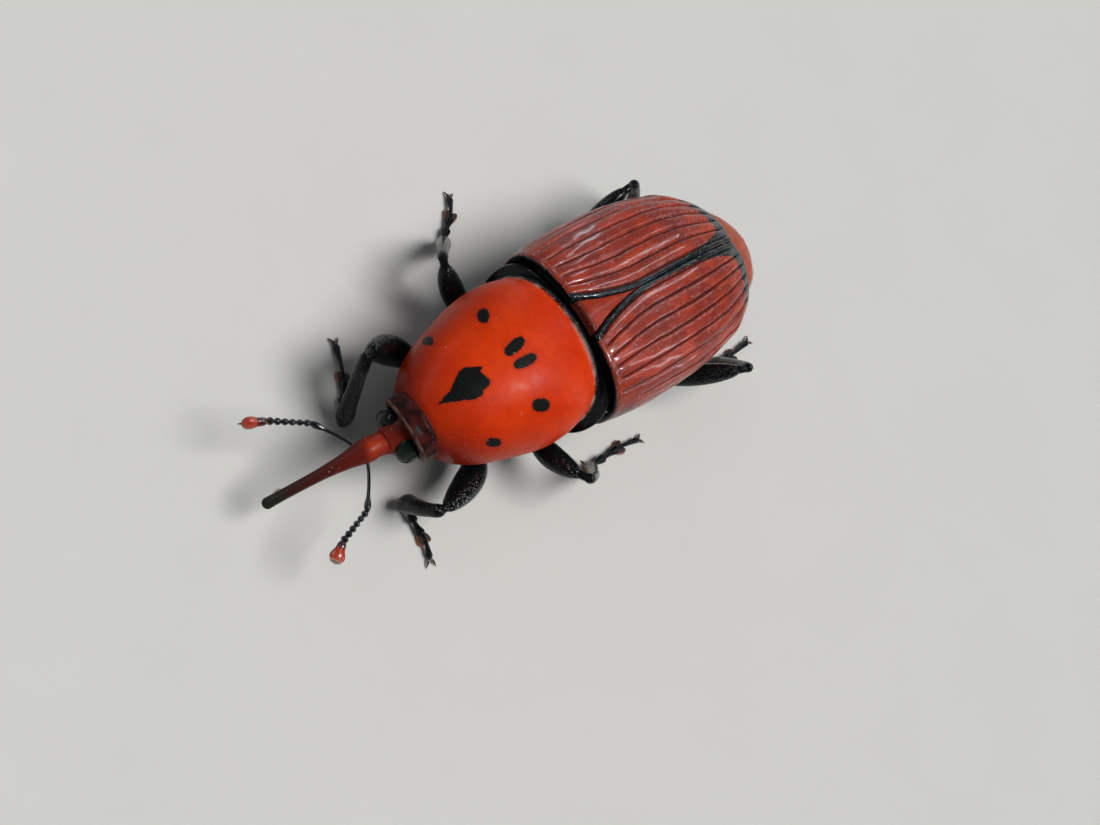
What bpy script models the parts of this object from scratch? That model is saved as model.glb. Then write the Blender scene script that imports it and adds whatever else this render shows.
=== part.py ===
"""Red palm weevil: a still, life-size model of the beetle, standing on a level floor.

Every size in this file is in millimetres. Each finished mesh is scaled to metres.
The head points to -Y, the insect's left side is +X, and the six feet stand at z = 0.
Shapes are laid out from the body's own zero: on the median plane, at the pronotum's rear rim.
"""
import math

import bmesh
import bpy
from mathutils import Matrix, Vector

MM = 0.001
GAP = 0.3

# Place of the body's own zero in the part's frame, so that the feet's box is centred on the origin
MEDIAN_X = 2.10
RIM_Y = -0.005

# Prothorax: distance from the rear rim, half width, underside, widest level, top, lean of the section.
# The lean carries the underside back, so that the front of the thorax faces down with the head.
PROTHORAX_STATIONS = (
    (0.36, 4.60, 3.00, 6.90, 10.72, -0.24),
    (0.22, 4.86, 2.82, 6.90, 10.95, -0.24),
    (-0.05, 4.94, 2.75, 6.90, 11.02, -0.24),
    (-0.28, 4.92, 2.75, 6.90, 10.95, -0.23),
    (-1.20, 5.14, 2.65, 6.85, 11.16, -0.20),
    (-2.60, 5.16, 2.60, 6.80, 11.20, -0.14),
    (-4.10, 4.96, 2.62, 6.70, 11.08, -0.06),
    (-5.60, 4.66, 2.72, 6.60, 10.80, 0.02),
    (-7.10, 4.28, 2.88, 6.50, 10.38, 0.07),
    (-8.50, 3.76, 3.10, 6.40, 9.86, 0.11),
    (-9.60, 3.12, 3.45, 6.25, 9.30, 0.15),
    (-10.25, 2.50, 3.75, 6.15, 8.86, 0.18),
    (-10.62, 2.18, 3.90, 6.10, 8.58, 0.22),
    (-10.90, 2.12, 3.95, 6.08, 8.46, 0.27),
    (-11.55, 2.14, 3.92, 6.02, 8.24, 0.40),
    (-11.80, 2.04, 3.98, 6.00, 8.06, 0.45),
)
PROTHORAX_SIDES = 36
PROTHORAX_SQUARENESS = 2.25
PROTHORAX_YAW = math.radians(1.4)
COLLAR_WALL = 0.24
COLLAR_RECESS = 0.64

# Head and rostrum: the head's axis leaves the collar square to it, and the rostrum bends down from it
HEAD_YAW = math.radians(-4.9)
HEAD_RINGS = ((-0.20, 1.42), (0.20, 1.44), (0.60, 1.32), (0.95, 1.14), (1.25, 0.96), (1.48, 0.82))
HEAD_LIFT = 0.30
HEAD_SIDES = 20
ROSTRUM_PATH = ((0.0, -12.84, 5.79), (0.0, -16.20, 4.85), (0.0, -19.72, 2.78))
ROSTRUM_RINGS = (
    (0.00, 0.66, 0.66), (0.06, 0.75, 0.72), (0.12, 0.75, 0.72), (0.18, 0.66, 0.64), (0.26, 0.54, 0.54),
    (0.36, 0.45, 0.46), (0.50, 0.37, 0.39), (0.65, 0.34, 0.35), (0.80, 0.33, 0.34), (0.90, 0.34, 0.34),
    (0.96, 0.36, 0.33), (1.00, 0.25, 0.23),
)
ROSTRUM_SIDES = 16
EYE_PLACE = (0.95, -11.43, 6.10)
EYE_HALF_SIZE = (0.56, 0.72, 0.92)
EYE_LEAN = math.radians(24)
EYE_PITCH = math.radians(20)

# Antennae: insertion beside the rostrum, elbow, end of the bead chain, tip of the club
ANTENNA_POINTS = {
    "right": ((-1.00, -13.98, 5.22), (-2.87, -15.28, 5.00), (-4.18, -17.53, 4.85), (-4.77, -18.90, 4.60)),
    "left": ((1.26, -13.80, 5.30), (3.12, -15.20, 5.00), (3.92, -17.42, 4.75), (4.72, -18.45, 4.50)),
}
SCAPE_RADII = ((0.0, 0.20), (0.45, 0.20), (0.74, 0.23), (0.88, 0.31), (1.0, 0.24))
FUNICLE_BEADS = 6
BEAD_HALF_LENGTH = 0.29
FIRST_BEAD_SETBACK = 0.1
BEAD_RADII = (0.27, 0.25, 0.26, 0.27, 0.29, 0.31)
CLUB_RINGS = (
    (0.00, 0.20, 0.18), (0.14, 0.30, 0.26), (0.36, 0.37, 0.33), (0.60, 0.47, 0.36), (0.80, 0.51, 0.33),
    (0.93, 0.41, 0.25), (1.00, 0.20, 0.14),
)

# Hind body: the outer surface over the closed elytra, as (distance behind the rim, value) pairs
HALF_WIDTHS = (
    (0.6, 5.66), (2.5, 5.94), (5.2, 6.05), (8.4, 5.90), (10.9, 5.52), (13.0, 4.97), (14.9, 4.12),
    (16.3, 3.20), (17.6, 2.00),
)
TOPS = ((0.6, 10.90), (3.0, 11.18), (8.0, 11.14), (10.5, 10.78), (13.0, 9.92), (15.8, 8.55), (17.6, 7.20))
WIDEST_LEVELS = ((0.6, 7.30), (8.0, 7.40), (12.0, 7.10), (15.0, 6.50), (17.6, 5.80))
UNDERSIDES = ((0.6, 2.75), (4.0, 2.40), (9.0, 2.35), (13.0, 2.80), (15.5, 3.60), (17.6, 4.90))
HULL_SQUARENESS = 2.45
ELYTRON_WALL = 0.5
UNDER_ELYTRA = ELYTRON_WALL + GAP + 0.08

# Elytra: edges, margin bead and ten grooved rows
ELYTRA_BASE = 1.0
ELYTRON_EDGE_ANGLE = math.radians(-24)
HALF_SUTURE = GAP / 2
SHOULDER_SWEEP = 0.35
INNER_MARGIN = ((1.0, 1.46), (1.6, 1.13), (2.3, 0.86), (3.5, 0.52), (4.6, 0.28), (5.9, HALF_SUTURE))
STRIAE = 10
STRIA_DEPTH = 0.13
BEAD_WIDTH = 0.46
BEAD_HEIGHT = 0.08
INTERVAL_EDGES = (0.25, 0.75)
ELYTRON_ROWS = 17
EDGE_ROUNDING = 0.16
REAR_MARGIN = ((0.0, 15.72), (0.12, 15.92), (0.30, 15.62), (0.50, 15.00), (0.75, 14.20), (1.0, 13.50))

# Thorax and abdomen under the elytra
MESOTHORAX_SPAN = (0.78, 3.0)
MESOTHORAX_LEAN = -0.24
MESOTHORAX_REAR_PART = 0.7
MESOTHORAX_REAR_LEAN = -0.084
MESOTHORAX_RINGS = (
    (0.00, 5.16, 3.05, 6.6, 9.75), (0.12, 5.56, 2.85, 6.6, 9.85), (0.36, 5.62, 2.78, 6.6, 9.88),
    (0.52, 5.24, 2.76, 6.8, 9.95), (0.66, 4.66, 2.74, 7.0, 10.00),
)
METATHORAX_SPAN = (3.3, 8.1)
ABDOMEN_SPAN = (8.4, 14.7)
STERNITES = 5
STERNITE_GROOVE = 0.13
STERNITE_EDGE = 0.16
HIND_LEAN = 0.30
ABDOMEN_TAPER = 0.24
BODY_SIDES = 28

# Pygidium: distance behind the rim, half width, underside, top, lean of the section
PYGIDIUM_STATIONS = (
    (15.14, 3.00, 3.86, 7.85, 0.30), (15.70, 3.04, 3.84, 7.78, 0.26), (16.40, 3.08, 3.92, 7.64, 0.20),
    (17.05, 2.94, 4.06, 7.30, 0.14), (17.70, 2.56, 4.26, 6.90, 0.09), (18.28, 2.02, 4.50, 6.48, 0.05),
    (18.75, 1.38, 4.74, 6.08, 0.02), (19.08, 0.70, 4.98, 5.74, 0.00),
)
PYGIDIUM_FULLNESS = 0.42
PYGIDIUM_SQUARENESS = 2.2

# Scutellum: its end, thickness, how far its sides fall and how far it stands up along its middle
SCUTELLUM_END = 3.9
SCUTELLUM_CLEARANCE = 0.36
SCUTELLUM_THICKNESS = 0.5
SCUTELLUM_CURVE = 0.06
SCUTELLUM_SIDE_DROP = 0.10
SCUTELLUM_KEEL = 0.03
SCUTELLUM_FRONT_DROP = 0.12
SCUTELLUM_LOWER_WIDTH = 0.8

# Coxae: centre on the insect's left side, and half sizes
COXAE = {
    "front": ((1.50, -4.30, 2.95), (1.10, 1.15, 1.05)),
    "middle": ((2.35, -0.15, 2.80), (0.95, 0.95, 0.90)),
    "hind": ((3.05, 7.05, 2.80), (1.25, 0.75, 0.80)),
}
SOCKET_CLEARANCE = 0.38

# Where each femur leaves its coxa, as a direction on the insect's left side
HIP_DIRECTIONS = {"front": (0.78, -0.44, -0.48), "middle": (0.86, -0.12, -0.50), "hind": (0.55, 0.60, -0.58)}
HIP_CLEARANCE = 0.24

# The stance: bend of the femur, knee and ankle of each leg, then its pad and claws on the floor
LEG_POINTS = {
    ("front", "right"): ((-5.21, -6.46, 2.60), (-4.77, -10.18, 6.38), (-2.61, -11.05, 0.95)),
    ("front", "left"): ((4.40, -5.60, 2.30), (5.30, -10.60, 4.95), (3.50, -10.45, 0.95)),
    ("middle", "right"): ((-5.75, -1.20, 3.10), (-7.50, -2.15, 5.80), (-9.50, 1.90, 1.00)),
    ("middle", "left"): ((4.93, -2.00, 3.10), (7.83, -1.65, 5.55), (7.40, 2.15, 1.00)),
    ("hind", "right"): ((-5.90, 9.80, 3.00), (-6.59, 13.30, 5.60), (-5.90, 15.90, 0.95)),
    ("hind", "left"): ((5.75, 10.10, 3.90), (7.30, 12.70, 6.25), (5.74, 15.10, 0.95)),
}
FOOT_POINTS = {
    ("front", "right"): ((-5.02, -9.12), (-7.52, -8.15)),
    ("front", "left"): ((5.87, -10.30), (7.60, -10.80)),
    ("middle", "right"): ((-11.05, 3.97), (-12.55, 4.95)),
    ("middle", "left"): ((7.28, 5.46), (7.52, 7.55)),
    ("hind", "right"): ((-5.50, 17.85), (-4.90, 19.70)),
    ("hind", "left"): ((5.88, 17.32), (5.58, 19.60)),
}
FEMUR_RINGS = (
    (0.00, 0.30), (0.05, 0.42), (0.14, 0.42), (0.24, 0.52), (0.42, 0.68), (0.62, 0.76), (0.80, 0.68),
    (0.91, 0.54), (0.97, 0.42), (1.00, 0.26),
)
FEMUR_THICKNESS = {"front": 1.28, "middle": 1.20, "hind": 1.10}
FEMUR_FLATNESS = 0.84
KNEE_FORWARD = 0.98
KNEE_DOWN = 0.22
TIBIA_RINGS = ((0.00, 0.20), (0.04, 0.27), (0.12, 0.32), (0.45, 0.38), (0.80, 0.43), (0.93, 0.46), (1.00, 0.30))
TIBIA_THICKNESS = {"front": 1.42, "middle": 1.20, "hind": 1.20}
TIBIA_FLATNESS = 0.90
TIBIA_BOW = 0.30
SPUR_ROOT = 0.35
SPUR_DROP = 0.15
SPUR_REACH = 0.28
SPUR_LENGTH = 0.45
SPUR_SLOPE = 0.2
SPUR_RINGS = ((0.0, 0.16), (0.5, 0.17), (0.8, 0.11), (1.0, 0.04))
LEG_SIDES = 10

# Foot: levels of its joints above the floor, and the sizes of each piece
HEEL_CLEARANCE = {"front": 0.48, "middle": 0.20, "hind": 0.32}
START_LEVEL = 0.72
JOINT_LEVEL = 0.54
PAD_LEVEL = 0.36
CREST_LEVEL = 0.52
CREST_SHARE = 0.6
CLAW_ROOT_LEVEL = 0.26
PAD_REACH = 0.34
SEGMENT_SHARES = (0.0, 0.08, 0.70, 0.92, 1.06)
SEGMENT_RADII = ((0.17, 0.22, 0.29, 0.31, 0.22), (0.17, 0.22, 0.30, 0.33, 0.22))
LOBE_HALF_SIZE = (0.52, 0.27, 0.27)
LOBE_SPREAD = math.radians(20)
LOBE_OFFSET = 0.22
LOBE_SINK = 0.62
FLOOR_CUTTER = 6.0
ONYCHIUM_RINGS = ((0.0, 0.13), (0.3, 0.15), (0.7, 0.19), (0.94, 0.23), (1.0, 0.16))
CLAW_LENGTH = 0.72
CLAW_REACH = 0.76
CLAW_OVERLAP = 0.2
CLAW_BEND = 0.55
CLAW_TIP = 0.9
CLAW_ARCH = 0.06
CLAW_TIP_LEVEL = 0.05
CLAW_SPREAD = math.radians(32)
CLAW_RINGS = ((0.0, 0.13), (0.45, 0.11), (0.8, 0.07), (1.0, 0.03))

# Colours (linear red, green, blue), roughness
RED_CUTICLE = ((0.48, 0.045, 0.008), 0.22)
DARK_RED = ((0.10, 0.012, 0.010), 0.25)
ELYTRON_RED = ((0.22, 0.035, 0.026), 0.32)
BLACK_CUTICLE = ((0.008, 0.009, 0.011), 0.25)
EYE_BLACK = ((0.004, 0.005, 0.006), 0.10)
CLUB_RED = ((0.40, 0.06, 0.03), 0.35)


def clear_scene():
    for thing in list(bpy.data.objects):
        bpy.data.objects.remove(thing, do_unlink=True)


def curve_through(pairs):
    """Return a smooth function of position that passes through (position, value) pairs."""
    places = [pair[0] for pair in pairs]
    values = [pair[1] for pair in pairs]
    last = len(places) - 1
    slopes = []
    for i in range(last + 1):
        before = max(i - 1, 0)
        after = min(i + 1, last)
        slopes.append((values[after] - values[before]) / (places[after] - places[before]))

    def value_at(place):
        if place <= places[0]:
            return values[0] + slopes[0] * (place - places[0])
        if place >= places[last]:
            return values[last] + slopes[last] * (place - places[last])
        i = max(k for k in range(last) if places[k] <= place)
        width = places[i + 1] - places[i]
        t = (place - places[i]) / width
        start = (1 + 2 * t) * (1 - t) ** 2 * values[i] + t * (1 - t) ** 2 * width * slopes[i]
        end = t * t * (3 - 2 * t) * values[i + 1] + t * t * (t - 1) * width * slopes[i + 1]
        return start + end

    return value_at


half_width_at = curve_through(HALF_WIDTHS)
top_at = curve_through(TOPS)
widest_at = curve_through(WIDEST_LEVELS)
underside_at = curve_through(UNDERSIDES)
rear_margin_at = curve_through(REAR_MARGIN)
inner_margin_at = curve_through(INNER_MARGIN)


def rounded(value, squareness):
    """Bend a sine or cosine so that a circle turns into a fuller, squarer oval."""
    return math.copysign(abs(value) ** (2 / squareness), value)


def section(y, half_width, low, widest, top, lean=0.0, sides=BODY_SIDES, squareness=HULL_SQUARENESS):
    """One closed cross-section of the body, from its left side over the top."""
    ring = []
    for i in range(sides):
        angle = 2 * math.pi * i / sides
        rise = top - widest if math.sin(angle) > 0 else widest - low
        x = half_width * rounded(math.cos(angle), squareness)
        z = widest + rise * rounded(math.sin(angle), squareness)
        ring.append(Vector((x, y + lean * (top - z), z)))
    return ring


def loft(rings):
    """A closed mesh through rings of equal count, with a flat cap at each end."""
    mesh = bmesh.new()
    rows = [[mesh.verts.new(point) for point in ring] for ring in rings]
    count = len(rings[0])
    for near, far in zip(rows, rows[1:]):
        for i in range(count):
            j = (i + 1) % count
            mesh.faces.new((near[i], near[j], far[j], far[i]))
    mesh.faces.new(rows[0])
    mesh.faces.new(reversed(rows[-1]))
    bmesh.ops.recalc_face_normals(mesh, faces=mesh.faces[:])
    return mesh


def along(path, share):
    """Point and direction on a straight or once-bent path, at a share of its length."""
    points = [Vector(point) for point in path]
    if len(points) == 2:
        return points[0].lerp(points[1], share), (points[1] - points[0]).normalized()
    first = points[0].lerp(points[1], share)
    second = points[1].lerp(points[2], share)
    return first.lerp(second, share), (second - first).normalized()


def tube(path, rings, sides, upward=(0, 0, 1)):
    """A lofted limb: rings are (share of length, half width) or (share, half width, half height)."""
    loops = []
    reference = Vector(upward).normalized()
    _, first_direction = along(path, 0.5)
    if abs(first_direction.dot(reference)) > 0.95:
        reference = Vector((1, 0, 0))
    for ring in rings:
        centre, direction = along(path, ring[0])
        side = direction.cross(reference).normalized()
        top = side.cross(direction).normalized()
        half_height = ring[2] if len(ring) == 3 else ring[1]
        loop = []
        for i in range(sides):
            angle = 2 * math.pi * i / sides
            loop.append(centre + side * ring[1] * math.cos(angle) + top * half_height * math.sin(angle))
        loops.append(loop)
    return loft(loops)


def ball(centre, half_sizes, turn=None, segments=14, rings=8):
    """An ellipsoid, turned by a matrix and moved to its centre."""
    mesh = bmesh.new()
    bmesh.ops.create_uvsphere(mesh, u_segments=segments, v_segments=rings, radius=1.0)
    place = Matrix.Translation(centre) @ (turn or Matrix()) @ Matrix.Diagonal((*half_sizes, 1.0))
    bmesh.ops.transform(mesh, matrix=place, verts=mesh.verts[:])
    return mesh


def moved(mesh, matrix):
    bmesh.ops.transform(mesh, matrix=matrix, verts=mesh.verts[:])
    return mesh


def turn_about(point, angle, axis="Z"):
    place = Vector(point)
    return Matrix.Translation(place) @ Matrix.Rotation(angle, 4, axis) @ Matrix.Translation(-place)


def as_object(mesh, name, collection):
    data = bpy.data.meshes.new(name)
    mesh.to_mesh(data)
    mesh.free()
    thing = bpy.data.objects.new(name, data)
    collection.objects.link(thing)
    return thing


def combine(body, others, operation):
    """Join closed meshes to a body, or cut them from it, and return the result as one mesh."""
    scrap = bpy.data.collections.new("scrap")
    helpers = bpy.data.collections.new("cutters")
    bpy.context.scene.collection.children.link(scrap)
    bpy.context.scene.collection.children.link(helpers)
    base = as_object(body, "base", scrap)
    for i, other in enumerate(others):
        helper = as_object(other, f"cutter_{i}", helpers)
        helper.display_type = "WIRE"
        helper.hide_render = True
    boolean = base.modifiers.new("combine", "BOOLEAN")
    boolean.operation = operation
    boolean.operand_type = "COLLECTION"
    boolean.collection = helpers
    boolean.solver = "MANIFOLD"
    evaluated = base.evaluated_get(bpy.context.evaluated_depsgraph_get())
    result = bmesh.new()
    result.from_mesh(evaluated.to_mesh())
    evaluated.to_mesh_clear()
    for collection in (scrap, helpers):
        for thing in list(collection.objects):
            bpy.data.objects.remove(thing, do_unlink=True)
        bpy.data.collections.remove(collection)
    keep_largest(result)
    return result


def keep_largest(mesh):
    """Drop every closed surface but the one with the most faces."""
    unseen = set(mesh.faces)
    shells = []
    while unseen:
        start = unseen.pop()
        shell = [start]
        queue = [start]
        while queue:
            for edge in queue.pop().edges:
                for face in edge.link_faces:
                    if face in unseen:
                        unseen.discard(face)
                        shell.append(face)
                        queue.append(face)
        shells.append(shell)
    shells.sort(key=len)
    for shell in shells[:-1]:
        bmesh.ops.delete(mesh, geom=shell, context="FACES")


def add_node(mesh, name, finish, crease=40):
    """Scale a finished mesh to metres, place it in the part's frame and give it its own material."""
    place = Matrix.Diagonal((MM, MM, MM, 1.0)) @ Matrix.Translation((MEDIAN_X, RIM_Y, 0.0))
    bmesh.ops.transform(mesh, matrix=place, verts=mesh.verts[:])
    node = as_object(mesh, name, weevil)
    node.data.shade_smooth()
    node.data.set_sharp_from_angle(angle=math.radians(crease))
    colour, roughness = finish
    material = bpy.data.materials.new(f"{name}_finish")
    material.use_nodes = True
    shader = material.node_tree.nodes["Principled BSDF"]
    shader.inputs["Base Color"].default_value = (*colour, 1.0)
    shader.inputs["Roughness"].default_value = roughness
    shader.inputs["Metallic"].default_value = 0.0
    node.data.materials.append(material)
    return node


def coxa_ball(pair, mirror, extra=0.0):
    """The rounded hip piece of a leg, or with extra size the socket that it sits in."""
    centre, half_sizes = COXAE[pair]
    place = Vector((centre[0] * mirror, centre[1], centre[2]))
    return ball(place, [size + extra for size in half_sizes], segments=12, rings=8)


def coxa_sockets(pair):
    return [coxa_ball(pair, mirror, SOCKET_CLEARANCE) for mirror in (1, -1)]


def build_prothorax():
    """Pronotum, collar and underside in one piece, hollowed at the front for the head."""
    rings = [
        section(y, half, low, widest, top, lean, PROTHORAX_SIDES, PROTHORAX_SQUARENESS)
        for y, half, low, widest, top, lean in PROTHORAX_STATIONS
    ]
    y, half, low, widest, top, lean = PROTHORAX_STATIONS[-1]
    for depth in (0.0, COLLAR_RECESS):
        wall = COLLAR_WALL
        rings.append(section(
            y + depth + lean * wall, half - wall, low + wall, widest, top - wall, lean,
            PROTHORAX_SIDES, PROTHORAX_SQUARENESS,
        ))
    body = combine(loft(rings), coxa_sockets("front"), "DIFFERENCE")
    moved(body, turn_about((0, 0, 0), PROTHORAX_YAW))
    add_node(body, "prothorax", RED_CUTICLE)


def collar_frame():
    """Centre of the collar's mouth and the direction that the head leaves it in."""
    y, half, low, widest, top, lean = PROTHORAX_STATIONS[-1]
    middle = (low + top) / 2
    centre = Vector((0, y + lean * (top - middle), middle))
    direction = Vector((0, -1, -lean)).normalized()
    return centre, direction


def head_turn():
    """The head's small turn: it follows the collar, then points back a little to the right."""
    centre, _ = collar_frame()
    return turn_about((0, 0, 0), PROTHORAX_YAW) @ turn_about(centre, HEAD_YAW)


def build_head():
    centre, direction = collar_frame()
    upward = Vector((1, 0, 0)).cross(direction)
    if upward.z < 0:
        upward.negate()
    rings = []
    reach = HEAD_RINGS[-1][0]
    for distance, radius in HEAD_RINGS:
        lift = HEAD_LIFT * max(distance, 0) / reach
        middle = centre + direction * distance + upward * lift
        ring = []
        for i in range(HEAD_SIDES):
            angle = 2 * math.pi * i / HEAD_SIDES
            across = Vector((1, 0, 0)) * math.cos(angle)
            ring.append(middle + (across + upward * math.sin(angle)) * radius)
        rings.append(ring)
    sockets = [eye_ball(mirror, GAP) for mirror in (1, -1)]
    head = combine(loft(rings), sockets, "DIFFERENCE")
    add_node(moved(head, head_turn()), "head", DARK_RED)


def eye_ball(mirror, extra=0.0):
    x, y, z = EYE_PLACE
    tilt = Matrix.Rotation(-EYE_LEAN * mirror, 4, "Y") @ Matrix.Rotation(EYE_PITCH, 4, "X")
    return ball((x * mirror, y, z), [size + extra for size in EYE_HALF_SIZE], tilt, 14, 9)


def build_eyes():
    for side, mirror in (("left", 1), ("right", -1)):
        add_node(moved(eye_ball(mirror), head_turn()), f"eye_{side}", EYE_BLACK)


def build_rostrum():
    snout = tube(ROSTRUM_PATH, ROSTRUM_RINGS, ROSTRUM_SIDES)
    add_node(moved(snout, head_turn()), "rostrum", RED_CUTICLE)


def shortened(start, end, at_start, at_end):
    """The stretch between two points, cut back at each end."""
    a = Vector(start)
    b = Vector(end)
    direction = (b - a).normalized()
    return a + direction * at_start, b - direction * at_end


def build_antenna(side):
    insertion, elbow, chain_end, tip = ANTENNA_POINTS[side]
    scape = tube(shortened(insertion, elbow, 0, GAP / 2), SCAPE_RADII, 10)
    add_node(scape, f"antenna_{side}_scape", BLACK_CUTICLE)

    start, end = shortened(elbow, chain_end, GAP / 2 + BEAD_HALF_LENGTH + FIRST_BEAD_SETBACK,
                           GAP / 2 + BEAD_HALF_LENGTH)
    turn = (end - start).to_track_quat("Z", "Y").to_matrix().to_4x4()
    beads = []
    for i, radius in enumerate(BEAD_RADII):
        centre = start.lerp(end, i / (FUNICLE_BEADS - 1))
        beads.append(ball(centre, (radius, radius, BEAD_HALF_LENGTH), turn, 10, 6))
    chain = combine(beads[0], beads[1:], "UNION")
    add_node(chain, f"antenna_{side}_funicle", BLACK_CUTICLE)

    club = tube(shortened(chain_end, tip, GAP / 2, 0), CLUB_RINGS, 14)
    add_node(club, f"antenna_{side}_club", CLUB_RED)


def hull_point(angle, y, inset=0.0, raised=0.0):
    """A point on the outer surface over the elytra: angle 90 degrees is the top, 0 the left side."""
    widest = widest_at(y)
    above = math.sin(angle) > 0
    rise = top_at(y) - inset + raised - widest if above else widest - underside_at(y)
    x = (half_width_at(y) - inset + raised) * rounded(math.cos(angle), HULL_SQUARENESS)
    z = widest + rise * rounded(math.sin(angle), HULL_SQUARENESS)
    return Vector((x, y, z))


def surface_steps(y, count=160):
    """Angles from the top to the elytron's edge with the distance walked along the surface."""
    angles = [math.pi / 2 + (ELYTRON_EDGE_ANGLE - math.pi / 2) * i / count for i in range(count + 1)]
    walked = [0.0]
    for a, b in zip(angles, angles[1:]):
        walked.append(walked[-1] + (hull_point(b, y) - hull_point(a, y)).length)
    return angles, walked


def angle_at_distance(angles, walked, distance):
    """Angle at a distance walked from the top, from a table of both."""
    for i in range(len(walked) - 1):
        if walked[i + 1] >= distance:
            part = (distance - walked[i]) / (walked[i + 1] - walked[i])
            return angles[i] + (angles[i + 1] - angles[i]) * part
    return angles[-1]


def inner_margin(y):
    """Distance from the median line to the elytron's inner edge: beside the scutellum, then the suture."""
    return inner_margin_at(min(y, INNER_MARGIN[-1][0]))


def elytron_columns():
    """Columns across an elytron: (share of its width, distance from the margin, raised height)."""
    columns = [(0.0, 0.0, 0.0), (0.0, BEAD_WIDTH * 0.5, BEAD_HEIGHT), (0.0, BEAD_WIDTH, -STRIA_DEPTH)]
    for row in range(STRIAE):
        for part in INTERVAL_EDGES:
            columns.append(((row + part) / STRIAE, BEAD_WIDTH, 0.0))
        columns.append(((row + 1) / STRIAE, BEAD_WIDTH, -STRIA_DEPTH))
    columns[-1] = (1.0, BEAD_WIDTH, 0.0)
    return columns


def elytron_point(share, offset, height, row_share, y_start, inset):
    """A point of an elytron from its place across (share, offset) and along (row share)."""
    y_end = rear_margin_at(share)
    y = y_start + (y_end - y_start) * row_share
    angles, walked = surface_steps(y)
    total = walked[-1]
    start = inner_margin(y) * (1 - share) ** 3
    distance = start + offset * (1 - share) + (total - 0.001) * share
    angle = angle_at_distance(angles, walked, min(distance, total))
    if inset:
        return hull_point(angle, y, inset)
    if row_share in (0.0, 1.0):
        height = -EDGE_ROUNDING
    return hull_point(angle, y, 0.0, height)


def build_elytra():
    """Wing cases: a grooved outer face over a plain inner face that has every fourth column."""
    columns = elytron_columns()
    row_shares = [i / ELYTRON_ROWS for i in range(ELYTRON_ROWS + 1)]
    inner_step = 4
    inner_columns = list(range(0, len(columns), inner_step))
    if inner_columns[-1] != len(columns) - 1:
        inner_columns[-1] = len(columns) - 1
    inner_rows = list(range(0, ELYTRON_ROWS + 1, 2))
    if inner_rows[-1] != ELYTRON_ROWS:
        inner_rows.append(ELYTRON_ROWS)

    mesh = bmesh.new()
    outer = {}
    inner = {}
    for r, row_share in enumerate(row_shares):
        for c, (share, offset, height) in enumerate(columns):
            y_start = ELYTRA_BASE + SHOULDER_SWEEP * share ** 3
            outer[r, c] = mesh.verts.new(elytron_point(share, offset, height, row_share, y_start, 0.0))
            if r in inner_rows and c in inner_columns:
                point = elytron_point(share, offset, 0.0, row_share, y_start, ELYTRON_WALL)
                inner[r, c] = mesh.verts.new(point)
    for r in range(ELYTRON_ROWS):
        for c in range(len(columns) - 1):
            mesh.faces.new((outer[r, c], outer[r, c + 1], outer[r + 1, c + 1], outer[r + 1, c]))
    for r, r2 in zip(inner_rows, inner_rows[1:]):
        for c, c2 in zip(inner_columns, inner_columns[1:]):
            mesh.faces.new((inner[r, c], inner[r2, c], inner[r2, c2], inner[r, c2]))
    for c, c2 in zip(inner_columns, inner_columns[1:]):
        for r in (0, ELYTRON_ROWS):
            edge = [outer[r, k] for k in range(c, c2 + 1)]
            mesh.faces.new(edge + [inner[r, c2], inner[r, c]])
    for r, r2 in zip(inner_rows, inner_rows[1:]):
        for c in (0, len(columns) - 1):
            edge = [outer[k, c] for k in range(r, r2 + 1)]
            mesh.faces.new(edge + [inner[r2, c], inner[r, c]])
    bmesh.ops.triangulate(mesh, faces=mesh.faces[:])
    bmesh.ops.recalc_face_normals(mesh, faces=mesh.faces[:])
    right = mesh.copy()
    moved(right, Matrix.Diagonal((-1, 1, 1, 1)))
    bmesh.ops.reverse_faces(right, faces=right.faces[:])
    add_node(mesh, "elytron_left", ELYTRON_RED, 30)
    add_node(right, "elytron_right", ELYTRON_RED, 30)


def hull_section(y, inset_sides, lean=0.0, groove=0.0):
    """A cross-section of the body under the elytra."""
    return section(
        y, half_width_at(y) - inset_sides - groove * 0.5, underside_at(y) + groove, widest_at(y),
        top_at(y) - UNDER_ELYTRA, lean,
    )


def build_scutellum():
    """The triangular plate between the bases of the elytra, with hollowed sides and a low keel."""
    rings = []
    rows = 9
    for i in range(rows + 1):
        y = ELYTRA_BASE + (SCUTELLUM_END - ELYTRA_BASE) * i / rows
        half = inner_margin(y) - SCUTELLUM_CLEARANCE
        crest = hull_point(math.pi / 2, y).z
        fall = 0.0 if i else SCUTELLUM_FRONT_DROP
        upper = []
        for share in (1.0, 0.5, 0.0, -0.5, -1.0):
            z = crest - SCUTELLUM_CURVE * (share * half) ** 2 + SCUTELLUM_KEEL * (share == 0)
            drop = SCUTELLUM_SIDE_DROP if abs(share) == 1 else fall
            upper.append(Vector((half * share, y, z - drop)))
        low = crest - SCUTELLUM_THICKNESS
        inner_half = half * SCUTELLUM_LOWER_WIDTH
        rings.append(upper + [Vector((-inner_half, y, low)), Vector((inner_half, y, low))])
    add_node(loft(rings), "scutellum", RED_CUTICLE)


def build_mesothorax():
    """The short black ring behind the pronotum, whose front follows the pronotum's leaning rim."""
    start, end = MESOTHORAX_SPAN
    rings = [section(start + place, half, low, widest, top, MESOTHORAX_LEAN)
             for place, half, low, widest, top in MESOTHORAX_RINGS]
    rings.append(hull_section(end - MESOTHORAX_REAR_PART, UNDER_ELYTRA, MESOTHORAX_REAR_LEAN))
    rings.append(hull_section(end, UNDER_ELYTRA))
    add_node(combine(loft(rings), coxa_sockets("middle"), "DIFFERENCE"), "mesothorax", BLACK_CUTICLE)


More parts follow.
